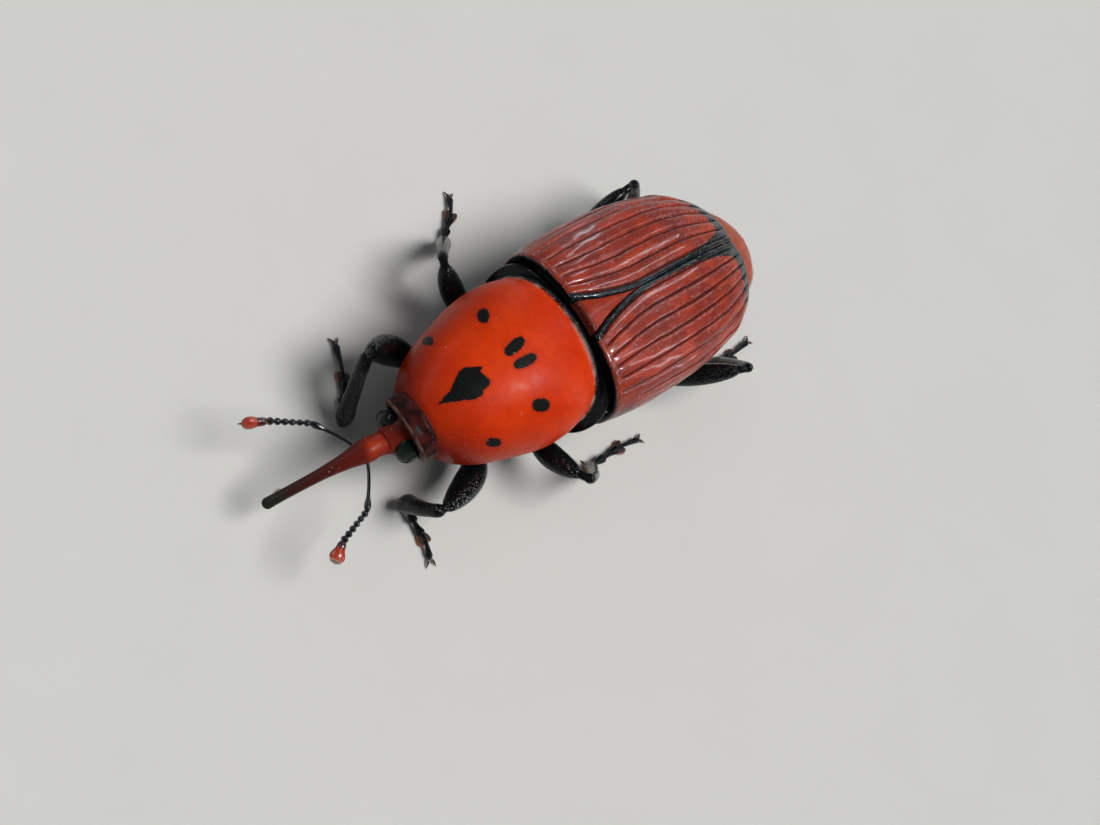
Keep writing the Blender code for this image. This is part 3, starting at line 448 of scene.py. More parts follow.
def limb(path, rings, rows, sides, upward=(0, 0, 1), blunt=0.5):
    """A tube grid with rounded ends: rings are (share, half width) or (share, half width, half height)."""
    profile = curves_through([(*ring, ring[1]) if len(ring) == 2 else ring for ring in rings])
    length = sum(np.linalg.norm(np.subtract(b, a)) for a, b in zip(path, path[1:]))
    share = np.linspace(0, 1, count_of(rows))
    size = profile(share)
    turn = np.linspace(0, math.pi / 2, CAP_ROWS)[1:]
    ends = []
    for place, way in ((0, -1), (1, 1)):
        radius = profile(np.float64(place))
        reach = place + way * np.sin(turn) * blunt * radius[1] / length
        ends.append((reach, np.maximum(np.cos(turn)[:, None] * radius[None, :], 1e-4)))
    share = np.concatenate((ends[0][0][::-1], share, ends[1][0]))
    size = np.concatenate((ends[0][1][::-1], size, ends[1][1]))
    centre, direction = along(path, share)
    if abs(along(path, 0.5)[1] @ unit(np.array(upward, float))) > 0.95:
        upward = (1.0, 0.0, 0.0)
    points = tube(centre, direction, upward, size, circle(count_of(sides)))
    return points, {"along": np.clip(np.broadcast_to(share[:, None], points.shape[:2]), 0, 1)}


def ellipsoid(centre, half_sizes, turn, rows, sides):
    """A ball grid, turned and moved to its centre, with its poles up and down."""
    rows, sides = count_of(rows), count_of(sides)
    polar = np.linspace(0.002, math.pi - 0.002, rows)[:, None]
    angle = circle(sides)[None, :]
    level = np.broadcast_to(np.cos(polar), (rows, sides))
    ball = np.stack((np.sin(polar) * np.cos(angle), np.sin(polar) * np.sin(angle), level), -1)
    ball = ball * np.array(half_sizes)
    if turn is not None:
        ball = ball @ np.array(turn.to_3x3()).T
    return ball + np.array(centre)


def turned(points, matrix):
    """Grid points moved by a 4x4 matrix."""
    table = np.array(matrix)
    return points @ table[:3, :3].T + table[:3, 3]


def turn_about(point, angle):
    """A turn about the upright line through a point."""
    place = Vector(point)
    return Matrix.Translation(place) @ Matrix.Rotation(angle, 4, "Z") @ Matrix.Translation(-place)


def mirrored(point, mirror):
    return np.array(point) * (mirror, 1, 1)


def sideways(direction):
    """The level direction to the left of another one."""
    return np.array((-direction[1], direction[0], 0.0))


# ---- Pieces

def grid_faces(rows, columns, closed, first=0):
    r, c = np.meshgrid(np.arange(rows - 1), np.arange(columns if closed else columns - 1), indexing="ij")
    d = (c + 1) % columns
    quads = np.stack((r * columns + c, r * columns + d, (r + 1) * columns + d, (r + 1) * columns + c), -1)
    return quads.reshape(-1, 4) + first


def add_piece(name, surfaces, slot, nodes=(), look=None, closed=True, flip=False):
    """One object from grids of points in the body's axes, each with its painted values."""
    points, quads = [], []
    painted = {key: [] for key in sorted({key for _, values in surfaces for key in values})}
    first = 0
    for grid, values in surfaces:
        rows, columns = grid.shape[:2]
        points.append(grid.reshape(-1, 3))
        quads.append(grid_faces(rows, columns, closed, first))
        for key, layers in painted.items():
            layers.append(np.broadcast_to(values.get(key, 0.0), (rows, columns)).reshape(-1))
        first += rows * columns
    faces = np.concatenate(quads)
    if flip:
        faces = faces[:, ::-1]
    piece = mesh_object(name, np.concatenate(points), faces, FINISHES[look or slot])
    for key, layers in painted.items():
        layer = piece.data.attributes.new(key, "FLOAT", "POINT")
        layer.data.foreach_set("value", np.concatenate(layers).astype(np.float32))
    return dress(piece, nodes)


def mesh_object(name, points, faces, finish):
    data = bpy.data.meshes.new(name)
    place = (np.asarray(points, float) + (MEDIAN_X, RIM_Y, 0.0)) * MM
    size = faces.shape[1]
    data.vertices.add(len(place))
    data.vertices.foreach_set("co", place.astype(np.float32).reshape(-1))
    data.loops.add(faces.size)
    data.loops.foreach_set("vertex_index", faces.astype(np.int32).reshape(-1))
    data.polygons.add(len(faces))
    data.polygons.foreach_set("loop_start", np.arange(0, faces.size, size, dtype=np.int32))
    data.polygons.foreach_set("use_smooth", np.ones(len(faces), bool))
    data.update(calc_edges=True)
    data.materials.append(finish)
    piece = bpy.data.objects.new(name, data)
    bpy.context.scene.collection.objects.link(piece)
    return piece


def dress(piece, nodes=()):
    """Tie a piece to the part: it rides on the body and may stand for nodes."""
    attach(piece, "root")
    if nodes:
        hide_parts(*nodes)
    return piece


def normals_of(points):
    """Outward directions of a closed grid, from its own differences."""
    down = np.gradient(points, axis=0)
    across = (np.roll(points, -1, 1) - np.roll(points, 1, 1)) / 2
    normal = unit(np.cross(across, down))
    middle = points.mean(axis=(0, 1))
    outward = np.einsum("rcx,rcx->", normal, points - middle)
    return normal if outward > 0 else -normal


def pick(grid, keep, count, random):
    """Random places on a grid where keep holds: roots and outward directions."""
    normal = normals_of(grid)
    rows, columns = np.nonzero(keep)
    if not len(rows):
        return np.empty((0, 3)), np.empty((0, 3))
    lengths = [np.linalg.norm(np.gradient(grid, axis=axis), axis=-1) for axis in (0, 1)]
    size = (lengths[0] * lengths[1])[rows, columns]
    chosen = random.choice(len(rows), int(count * HAIR_SHARE), p=size / size.sum())
    r, c = rows[chosen], columns[chosen]
    r2 = np.minimum(r + 1, grid.shape[0] - 1)
    c2 = (c + 1) % grid.shape[1]
    a, b = random.random((2, len(r), 1))
    near = grid[r, c] * (1 - a) + grid[r2, c] * a
    far = grid[r, c2] * (1 - a) + grid[r2, c2] * a
    return near * (1 - b) + far * b, normal[r, c]


def hairs_on(grid, keep, count, lay, stance, lengths, radius, random):
    """Hairs on a grid where keep holds. The stance says how far they follow the surface's outward
    direction and the lay, at the root and then at the tip; lengths are the shortest and the range."""
    roots, normal = pick(grid, keep, count, random)
    root_out, root_lay, tip_out, tip_lay = stance
    start, end = normal * root_out + lay * root_lay, normal * tip_out + lay * tip_lay
    return roots, start, end, lengths[0] + lengths[1] * random.random(len(roots)), radius


def add_hairs(name, tufts, look):
    """Fine tapering hairs as one mesh: tufts are (roots, directions, tips' directions, lengths, radii)."""
    points, faces, maps = [], [], []
    first = 0
    quads = grid_faces(HAIR_ROWS, HAIR_SIDES, True)
    share = np.linspace(0, 1, HAIR_ROWS)[None, :, None]
    angle = (np.arange(HAIR_SIDES) * 2 * math.pi / HAIR_SIDES)[None, None, :, None]
    for roots, start, end, length, radius in tufts:
        amount = len(roots)
        if not amount:
            continue
        length = np.broadcast_to(length, amount)[:, None, None]
        radius = np.broadcast_to(radius, amount)[:, None, None]
        start, end = unit(start)[:, None, :], unit(end)[:, None, :]
        centre = roots[:, None, :] + length * (start * share + (end - start) * share ** 2 / 2)
        way = unit(start + (end - start) * share)
        side = unit(np.cross(way, np.array((0.31, 0.52, 0.79))))
        up = np.cross(way, side)
        thickness = (radius * (1 - 0.92 * share ** 1.5))[:, :, None, :]
        ring = centre[:, :, None, :] + thickness * (
            side[:, :, None, :] * np.cos(angle) + up[:, :, None, :] * np.sin(angle)
        )
        points.append(ring.reshape(-1, 3))
        base = np.arange(amount) * HAIR_ROWS * HAIR_SIDES + first
        faces.append((base[:, None, None] + quads).reshape(-1, 4))
        flat = (amount, HAIR_ROWS, HAIR_SIDES)
        strand = np.broadcast_to(((np.arange(amount) + 0.5) / amount)[:, None, None], flat)
        maps.append(np.stack((strand, np.broadcast_to(share, flat)), -1).reshape(-1, 2))
        first += amount * HAIR_ROWS * HAIR_SIDES
    faces = np.concatenate(faces)
    piece = mesh_object(name, np.concatenate(points), faces, FINISHES[look])
    layer = piece.data.uv_layers.new(name="OFBake")
    layer.data.foreach_set("uv", np.concatenate(maps)[faces.reshape(-1)].astype(np.float32).reshape(-1))
    return dress(piece)


# ---- Materials

class Finish:
    """A material with short calls for the nodes that the finishes share."""

    def __init__(self, name, **settings):
        self.material = bpy.data.materials.new(name)
        self.material.use_nodes = True
        self.tree = self.material.node_tree
        self.surface = self.tree.nodes["Principled BSDF"]
        self.place = self.tree.nodes.new("ShaderNodeTexCoord").outputs["Object"]
        for socket, value in settings.items():
            self.surface.inputs[socket.replace("_", " ")].default_value = value

    def node(self, kind, inputs, **settings):
        made = self.tree.nodes.new(kind)
        for key, value in settings.items():
            setattr(made, key, value)
        for key, value in inputs.items():
            if isinstance(value, bpy.types.NodeSocket):
                self.tree.links.new(value, made.inputs[key])
            else:
                made.inputs[key].default_value = value
        return made

    def noise(self, size, detail=3.0, stretch=None):
        """Cloudy noise whose features are about the size in millimetres."""
        place = self.place
        if stretch:
            place = self.node("ShaderNodeMapping", {"Vector": place, "Scale": stretch}).outputs["Vector"]
        inputs = {"Vector": place, "Scale": 1 / (size * MM), "Detail": detail}
        return self.node("ShaderNodeTexNoise", inputs).outputs["Fac"]

    def cells(self, size, output="Distance", randomness=1.0):
        inputs = {"Vector": self.place, "Scale": 1 / (size * MM), "Randomness": randomness}
        return self.node("ShaderNodeTexVoronoi", inputs).outputs[output]

    def painted(self, name):
        return self.node("ShaderNodeAttribute", {}, attribute_name=name).outputs["Fac"]

    def calculate(self, operation, a, b):
        return self.node("ShaderNodeMath", {0: a, 1: b}, operation=operation).outputs[0]

    def sum(self, a, b):
        return self.calculate("ADD", a, b)

    def product(self, a, b):
        return self.calculate("MULTIPLY", a, b)

    def most(self, a, b):
        return self.calculate("MAXIMUM", a, b)

    def span(self, value, low, high, to_low=0.0, to_high=1.0):
        """Map a value smoothly from low..high to to_low..to_high."""
        inputs = {"Value": value, "From Min": low, "From Max": high, "To Min": to_low, "To Max": to_high}
        return self.node("ShaderNodeMapRange", inputs, interpolation_type="SMOOTHSTEP").outputs["Result"]

    def mix(self, factor, a, b):
        a, b = [(*c, 1.0) if isinstance(c, tuple) and len(c) == 3 else c for c in (a, b)]
        return self.node("ShaderNodeMix", {0: factor, 6: a, 7: b}, data_type="RGBA").outputs[2]

    def bump(self, height, depth, before=None):
        inputs = {"Height": height, "Distance": depth * MM}
        if before:
            inputs["Normal"] = before
        return self.node("ShaderNodeBump", inputs).outputs["Normal"]

    def dimples(self, size, wide, narrow, depth, before):
        """Small round pits, one in each cell of the size, over the bumps that are there before."""
        return self.bump(self.span(self.cells(size), wide, narrow), -depth, before)

    def grain(self, size, detail, low, high):
        """A clouded roughness between two values."""
        return self.span(self.noise(size, detail), 0.3, 0.7, low, high)

    def edge(self, name, size, detail, raggedness):
        """A painted value whose edge is made ragged by fine noise."""
        ragged = self.span(self.noise(size, detail), 0.2, 0.8, -raggedness, raggedness)
        return self.sum(self.painted(name), ragged)

    def paint(self, colour, name, other):
        """Another colour where a value is painted."""
        return self.mix(self.painted(name), colour, other)

    def clouds(self, colour, size, detail, low, high, share, other):
        """Another colour in clouds, mixed in up to a share."""
        return self.mix(self.span(self.noise(size, detail), low, high, 0.0, share), colour, other)

    def tones(self, size, detail, one, other, low=0.35, high=0.65):
        """Two colours in clouds."""
        return self.mix(self.span(self.noise(size, detail), low, high), one, other)

    def bands(self, value, colour, steps):
        """Colours one after another along a value: each step is (start, end, colour)."""
        for start, end, after in steps:
            colour = self.mix(self.span(value, start, end), colour, after)
        return colour

    def done(self, colour, rough, normal=None):
        """Link the colour, roughness and bumps to the surface, and give the material."""
        for socket, value in (("Base Color", colour), ("Roughness", rough), ("Normal", normal)):
            if value:
                self.tree.links.new(value, self.surface.inputs[socket])
        return self.material

    def dust(self, size, share, cloud, low, high, where=None):
        """Specks where clouds of a size are dense, and only where a value is painted if one is named."""
        dense = self.span(self.noise(cloud), low, high)
        if where:
            dense = self.product(self.painted(where), dense)
        return self.product(self.specks(size, share), dense)

    def specks(self, size, share, sharpness=0.12):
        """Scattered small dots: one in every so many cells of the size."""
        near = self.span(self.cells(size), 0.30, 0.30 - sharpness)
        colour = self.cells(size, "Color")
        chance = self.node("ShaderNodeSeparateColor", {"Color": colour}).outputs[0]
        return self.product(near, self.span(chance, 1 - share - 0.01, 1 - share))


def black_cuticle(name, gloss, pits, pit_depth, dust, coat=0.24):
    """Black chitin with fine punctures, a faint blue-green cast, grey dust in the pits, and, on the femora,
    pale specks of dust and painted glints.
    """
    f = Finish(name, Coat_Weight=coat, Coat_Roughness=0.09, Specular_IOR_Level=0.04)
    tone = f.mix(f.noise(1.6), (0.0022, 0.0034, 0.0036), (0.0070, 0.0088, 0.0092))
    grey = f.dust(0.09, dust, 0.8, 0.42, 0.62)
    colour = f.mix(grey, tone, (0.20, 0.21, 0.21))
    # Pale specks on the femora near the knees, on their upper side: dust, and painted glints where the light
    # falls.
    dust_and_glint_specks = f.dust(0.11, 0.85, 0.45, 0.34, 0.48, "dusty")
    colour = f.mix(dust_and_glint_specks, colour, (0.52, 0.58, 0.62))
    rough = f.grain(0.35, 4.0, gloss - 0.06, gloss + 0.14)
    rough = f.sum(rough, f.product(f.most(grey, dust_and_glint_specks), 0.4))
    normal = f.dimples(pits, 0.30, 0.10, pit_depth, f.bump(f.noise(0.12, 4.0), 0.010))
    return f.done(colour, rough, normal)


def pronotum_finish():
    """Orange-red shield with black marks, painted shade to the front and sides, painted highlights on the
    front lip and rear rim, and a maroon-black collar.
    """
    f = Finish("finish_prothorax", Specular_IOR_Level=0.07)
    red = f.tones(2.6, 3.0, (0.66, 0.036, 0.0026), (0.78, 0.052, 0.0040))
    red = f.paint(red, "shade", (0.22, 0.012, 0.004))
    red = f.clouds(red, 0.45, 4.0, 0.45, 0.75, 0.18, (0.34, 0.020, 0.004))
    edge = f.edge("mark", 0.22, 3.0, 0.045)
    colour = f.mix(f.span(edge, 0.22, 0.0, 0.0, 0.30), red, (0.22, 0.014, 0.004))
    colour = f.mix(f.span(edge, 0.035, -0.035), colour, (0.0075, 0.0085, 0.0080))
    maroon = f.tones(0.7, 4.0, (0.014, 0.0045, 0.0040), (0.060, 0.0085, 0.0060))
    colour = f.paint(colour, "collar", maroon)
    colour = f.paint(colour, "rim", (0.006, 0.0065, 0.0070))
    colour = f.paint(colour, "under", (0.030, 0.0060, 0.0045))
    dust = f.product(f.specks(0.13, 0.05), f.most(f.painted("dusty"), f.span(f.noise(1.2), 0.60, 0.70)))
    # Painted highlights on the rear rim: white glint specks and a faint pale line along it.
    glint = f.dust(0.11, 0.80, 0.9, 0.32, 0.46, "rim_line")
    # Painted highlight: a pinkish pale line along the front lip of the collar.
    lip = f.product(f.painted("lip"), f.span(f.noise(0.5, 3.0), 0.35, 0.60, 0.15, 0.85))
    colour = f.mix(lip, colour, (0.36, 0.20, 0.17))
    painted_rim_highlight = f.product(f.painted("rim_line"), f.span(f.noise(0.8), 0.40, 0.60, 0.0, 0.35))
    # Dust specks and the painted rim highlights share one pale colour.
    dust = f.most(dust, f.most(glint, painted_rim_highlight))
    colour = f.mix(dust, colour, (0.72, 0.64, 0.58))
    rough = f.sum(f.grain(0.9, 4.0, 0.30, 0.42), f.product(dust, 0.4))
    normal = f.dimples(0.30, 0.16, 0.04, 0.010, f.bump(f.noise(0.30, 5.0), 0.006))
    return f.done(colour, rough, normal)


def elytron_finish():
    """Brownish red wing case: painted shade in the grooves, a painted purplish sheen on the crests, black
    margins with painted bluish reflections, painted sparkles on the black apex, and pale specks along the
    ridges that are dust and painted highlights.
    """
    f = Finish("finish_elytra", Coat_Weight=0.42, Coat_Roughness=0.11, Specular_IOR_Level=0.16)
    streaks = f.noise(0.7, 4.0, (1.0, 0.45, 1.0))
    red = f.mix(f.span(streaks, 0.35, 0.65), (0.270, 0.026, 0.011), (0.470, 0.042, 0.009))
    red = f.clouds(red, 2.4, 3.0, 0.40, 0.66, 0.50, (0.165, 0.022, 0.018))
    # Painted sheen: pinkish-purple streaks on the crests beside the grooves.
    painted_pink_sheen = f.span(f.noise(0.16, 5.0, (1.0, 0.4, 1.0)), 0.44, 0.68)
    painted_pink_sheen = f.product(painted_pink_sheen, f.span(f.noise(2.6, 2.0), 0.36, 0.62, 0.15, 0.85))
    painted_pink_sheen = f.product(painted_pink_sheen, f.span(f.painted("crest"), 0.0, 1.0, 0.25, 1.0))
    red = f.mix(painted_pink_sheen, red, (0.44, 0.170, 0.180))
    red = f.paint(red, "dusky", (0.045, 0.010, 0.010))
    red = f.clouds(red, 0.16, 4.0, 0.5, 0.75, 0.35, (0.090, 0.012, 0.010))
    # Painted shade: the grooves darkened.
    groove = f.painted("groove")
    colour = f.mix(f.product(groove, 0.85), red, (0.018, 0.0045, 0.0050))
    black = f.span(f.edge("margin", 0.30, 4.0, 0.07), 0.05, -0.05)
    # Painted reflection: bluish streaks on the black margins.
    sheen = f.span(f.noise(0.35, 3.0, (1.0, 0.3, 1.0)), 0.42, 0.68)
    colour = f.mix(black, colour, f.mix(sheen, (0.0045, 0.0080, 0.0090), (0.0200, 0.0350, 0.0410)))
    # Pale specks beside the grooves: dust, and painted highlights along the groove edges.
    pale = f.dust(0.10, 0.75, 0.7, 0.38, 0.52, "ridge")
    loose = f.dust(0.13, 0.12, 1.4, 0.42, 0.58)
    # Painted highlights: white sparkle specks on the black apex band.
    painted_apex_sparkles = f.product(f.product(black, f.painted("apex")), f.span(f.noise(0.5, 3.0), 0.48, 0.62))
    pale = f.most(pale, f.most(loose, f.product(painted_apex_sparkles, f.specks(0.12, 0.60))))
    # Dust, the painted highlights and the painted sparkles share one pale colour.
    colour = f.mix(pale, colour, (0.62, 0.50, 0.52))
    rough = f.sum(f.grain(0.40, 4.0, 0.30, 0.44), f.product(black, -0.12))
    rough = f.sum(rough, f.product(pale, 0.3))
    normal = f.bump(f.noise(0.24, 5.0, (1.0, 0.5, 1.0)), 0.020)
    normal = f.bump(f.noise(0.09, 3.0), 0.009, normal)
    normal = f.dimples(0.17, 0.26, 0.06, 0.014, normal)
    return f.done(colour, rough, normal)


def rostrum_finish(name):
    """Red snout: red at the bulge near its base, with painted light making the top of the bulge orange, dark
    red along it and black-green at the tip.
    """
    f = Finish(name, Specular_IOR_Level=0.10)
    place = f.edge("along", 0.9, 4.0, 0.05)
    colour = f.bands(place, (0.030, 0.0050, 0.0045), (
        (-0.42, -0.22, (0.190, 0.0170, 0.0090)), (-0.06, 0.02, (0.230, 0.0190, 0.0080)),
    ))
    # Painted light: the top of the bulge near the base made lighter and orange.
    colour = f.paint(colour, "core", (0.40, 0.042, 0.006))
    colour = f.bands(place, colour, (
        (0.06, 0.17, (0.115, 0.0110, 0.0065)), (0.25, 0.52, (0.066, 0.0100, 0.0075)),
        (0.50, 0.82, (0.032, 0.0125, 0.0100)), (0.80, 0.90, (0.018, 0.0220, 0.0140)),
    ))
    colour = f.paint(colour, "under", (0.016, 0.0055, 0.0050))
    dust = f.dust(0.11, 0.06, 0.9, 0.50, 0.62)
    dust = f.most(dust, f.product(f.specks(0.13, 0.55), f.painted("dusty")))
    colour = f.mix(dust, colour, (0.50, 0.43, 0.40))
    normal = f.dimples(0.20, 0.22, 0.06, 0.014, f.bump(f.noise(0.18, 5.0), 0.012))
    return f.done(colour, f.grain(0.35, 4.0, 0.28, 0.42), normal)


def plate_finish(name, bright, dark, smoothest):
    """A red plate that is darker where its shade is painted."""
    f = Finish(name, Coat_Weight=0.10, Coat_Roughness=0.14, Specular_IOR_Level=0.14)
    colour = f.tones(0.7, 4.0, bright, tuple(c * 0.72 for c in bright))
    colour = f.paint(colour, "shade", dark)
    colour = f.mix(f.dust(0.11, 0.07, 0.8, 0.48, 0.60), colour, (0.46, 0.38, 0.36))
    normal = f.dimples(0.16, 0.26, 0.06, 0.014, f.bump(f.noise(0.18, 5.0), 0.012))
    return f.done(colour, f.grain(0.3, 4.0, smoothest, smoothest + 0.14), normal)


def eye_finish():
    """Glossy black eye with a painted green reflection and fine round facets."""
    f = Finish("finish_eyes", Coat_Weight=0.08, Coat_Roughness=0.10, Specular_IOR_Level=0.12)
    # Painted reflection: a faint green cast over the black.
    colour = f.mix(f.noise(0.5), (0.0045, 0.0085, 0.0060), (0.0105, 0.0195, 0.0135))
    facets = f.bump(f.cells(0.055, randomness=0.12), -0.004)
    return f.done(colour, f.grain(0.3, 3.0, 0.14, 0.22), facets)


def club_finish():
    """Club of the feeler: shiny maroon base, orange-red fan and a pale, finely furred end."""
    f = Finish("finish_clubs", Coat_Weight=0.35, Coat_Roughness=0.12, Specular_IOR_Level=0.40)
    place = f.edge("along", 0.25, 3.0, 0.04)
    colour = f.bands(place, (0.030, 0.0045, 0.0070), (
        (0.30, 0.42, (0.44, 0.040, 0.012)), (0.80, 0.92, (0.56, 0.17, 0.11)),
    ))
    colour = f.clouds(colour, 0.16, 4.0, 0.45, 0.75, 0.4, (0.24, 0.020, 0.010))
    colour = f.mix(f.span(place, 1.3, 1.6), colour, (0.050, 0.008, 0.006))
    return f.done(colour, f.span(place, 0.70, 0.95, 0.22, 0.60), f.bump(f.noise(0.08, 4.0), 0.010))


def claw_finish():
    f = Finish("finish_claws", Coat_Weight=0.4, Coat_Roughness=0.12, Specular_IOR_Level=0.5)
    colour = f.mix(f.painted("along"), (0.022, 0.006, 0.004), (0.110, 0.026, 0.012))
    colour = f.clouds(colour, 0.15, 3.0, 0.3, 0.7, 0.5, (0.012, 0.005, 0.004))
    return f.done(colour, f.grain(0.2, 3.0, 0.20, 0.34), f.bump(f.noise(0.06, 3.0), 0.006))


def pad_finish():
    """The soft sole lobes, orange-brown with a dense nap."""
    f = Finish("finish_pads", Sheen_Weight=0.5, Sheen_Roughness=0.4, Specular_IOR_Level=0.3)
    colour = f.tones(0.12, 4.0, (0.008, 0.006, 0.006), (0.036, 0.013, 0.009), 0.3, 0.7)
    colour = f.paint(colour, "sole", (0.48, 0.160, 0.075))
    return f.done(colour, f.grain(0.1, 3.0, 0.45, 0.65), f.bump(f.noise(0.05, 3.0), 0.020))


def hair_finish(name, light, dark):
    f = Finish(name, Specular_IOR_Level=0.5)
    colour = f.tones(0.15, 3.0, dark, light)
    return f.done(colour, f.grain(0.1, 3.0, 0.35, 0.50), f.bump(f.noise(0.03, 2.0), 0.002))


def membrane_finish():
    f = Finish("finish_membranes", Specular_IOR_Level=0.35)
    colour = f.mix(f.noise(0.4, 3.0), (0.005, 0.005, 0.005), (0.018, 0.014, 0.012))
    folds = f.bump(f.noise(0.10, 4.0, (1.0, 3.0, 1.0)), 0.020)
    return f.done(colour, f.grain(0.2, 3.0, 0.50, 0.70), folds)


def floor_finish():
    f = Finish("floor_finish", Specular_IOR_Level=0.2)
    colour = f.mix(f.noise(9.0, 4.0), (0.70, 0.70, 0.68), (0.74, 0.74, 0.72))
    reach = f.node("ShaderNodeVectorMath", {0: f.place}, operation="LENGTH").outputs["Value"]
    colour = f.mix(f.span(reach, 0.10, 0.50), colour, (0.17, 0.17, 0.175))
    return f.done(colour, f.grain(2.0, 3.0, 0.70, 0.80))


FINISHES = {
    "prothorax": pronotum_finish(),
    "head": rostrum_finish("finish_head"),
    "rostrum": rostrum_finish("finish_rostrum"),
    "eyes": eye_finish(),
    "antennae": black_cuticle("finish_antennae", 0.13, 0.10, 0.003, 0.02, 1.0),
    "clubs": club_finish(),
    "thorax_underside": black_cuticle("finish_thorax", 0.30, 0.22, 0.035, 0.14),
    "abdomen": black_cuticle("finish_abdomen", 0.28, 0.22, 0.030, 0.12),
    "pygidium": plate_finish("finish_pygidium", (0.50, 0.058, 0.012), (0.080, 0.012, 0.007), 0.30),
    "scutellum": plate_finish("finish_scutellum", (0.42, 0.038, 0.012), (0.060, 0.010, 0.008), 0.26),
    "elytra": elytron_finish(),
    "coxae": black_cuticle("finish_coxae", 0.24, 0.20, 0.026, 0.08),
    "femora": black_cuticle("finish_femora", 0.18, 0.17, 0.018, 0.07),
    "tibiae": black_cuticle("finish_tibiae", 0.18, 0.14, 0.016, 0.05),
    "tarsi": black_cuticle("finish_tarsi", 0.22, 0.10, 0.012, 0.05),
    "claws": claw_finish(),
    "pads": pad_finish(),
    "pale_hair": hair_finish("finish_pale_hair", (0.62, 0.56, 0.48), (0.34, 0.28, 0.22)),
    "golden_hair": hair_finish("finish_golden_hair", (0.58, 0.24, 0.10), (0.30, 0.10, 0.04)),
    "membranes": membrane_finish(),
}


# ---- Prothorax

def distance_to_polygon(x, y, corners):
    """Distance to a polygon's outline, negative inside."""
    corners = np.array(corners, float)
    ends = np.roll(corners, -1, 0)
    best = np.full(x.shape, 1e9)
    inside = np.zeros(x.shape, bool)
    for (ax, ay), (bx, by) in zip(corners, ends):
        ex, ey = bx - ax, by - ay
        t = np.clip(((x - ax) * ex + (y - ay) * ey) / (ex * ex + ey * ey), 0, 1)
        best = np.minimum(best, np.hypot(x - ax - t * ex, y - ay - t * ey))
        crosses = ((ay > y) != (by > y)) & (x < ex * (y - ay) / (ey if abs(ey) > 1e-9 else 1e-9) + ax)
        inside ^= crosses
    return np.where(inside, -best, best)


def mark_distance(points):
    """Distance to the nearest black mark of the pronotum, negative inside it."""
    best = distance_to_polygon(points[..., 0], points[..., 1], SPADE)
    best = np.where(points[..., 2] > SPADE_LOWEST, best, NO_MARK)
    for centre, half_a, half_b in SPOTS:
        axes = np.array((half_a, half_b))
        place = np.abs((points - np.array(centre)) @ np.linalg.pinv(axes))
        reach = np.maximum((place ** SPOT_SQUARENESS).sum(-1) ** (1 / SPOT_SQUARENESS), 0.05)
        steepness = (place / reach[..., None]) ** (SPOT_SQUARENESS - 1) / np.linalg.norm(axes, axis=1)
        away = (reach - 1) / np.linalg.norm(steepness, axis=-1)
        height = np.abs((points - np.array(centre)) @ unit(np.cross(*axes)))
        best = np.minimum(best, np.where(height < SPOT_DEPTH, away, NO_MARK))
    return best


def build_prothorax():
    stations = curves_through(PROTHORAX_STATIONS)
    step = 1 / DENSITY
    y = np.concatenate((
        np.arange(0.36, -0.60, -0.03 * step), np.arange(-0.60, -10.0, -0.085 * step),
        np.arange(-10.0, -11.80, -0.04 * step), [-11.80],
    ))
    half, low, widest, top, lean = stations(y).T
    change = humps(y, PROTHORAX_SWELLS) - humps(y, PROTHORAX_GROOVES)
    table = np.stack((y, half + change, low - change, widest, top + change, lean), -1)
    table = np.concatenate((PROTHORAX_REAR_EDGE, table, PROTHORAX_FRONT_EDGE))
    angle = circle(count_of(300))[None, :]
    fields = [table[:, k, None] for k in range(6)]
    grid = section(*fields, angle, PROTHORAX_SQUARENESS)
    grid = turned(grid, turn_about((0, 0, 0), PROTHORAX_YAW))
    station = fields[0]
    inner = np.zeros(station.shape)
    inner[:len(PROTHORAX_REAR_EDGE)] = 1
    inner[-len(PROTHORAX_FRONT_EDGE) + 1:] = 1
    side = np.abs(np.cos(angle)) ** 3
    # Painted shade: darker towards the front and towards the flanks.
    shade = 0.60 * smooth_step(station, -7.4, -10.6) + 0.34 * side * smooth_step(station, -2.0, -8.0)
    dusty = 0.7 * side * smooth_step(station, -6.5, -9.0)
    values = {
        "mark": mark_distance(grid),
        "shade": np.clip(shade + 0.16 * side, 0, 1),
        "collar": np.maximum(smooth_step(station, COLLAR_LINE + 0.14, COLLAR_LINE - 0.06), inner),
        "rim": np.maximum(smooth_step(station, -0.24, -0.10), inner),
        # Band along the rear rim that carries the painted glints and highlight line.
        "rim_line": hump(station, RIM_LINE, 0.09),
        # Front lip band that carries the painted highlight.
        "lip": hump(station, FRONT_LIP, 0.035) * (np.sin(angle) > -0.2),
        "under": smooth_step(np.sin(angle), -0.35, -0.75),
        "dusty": np.maximum(smooth_step(station, -0.9, -0.1), dusty),
    }
    add_piece("prothorax_shield", [(grid, values)], "prothorax", ["prothorax"], flip=True)


# ---- Head

def collar_frame():
    y, _, low, _, top, lean = PROTHORAX_STATIONS[-1]
    middle = (low + top) / 2
    return Vector((0, y + lean * (top - middle), middle)), Vector((0, -1, -lean)).normalized()


def head_turn():
    centre, _ = collar_frame()
    return turn_about((0, 0, 0), PROTHORAX_YAW) @ turn_about(centre, HEAD_YAW)


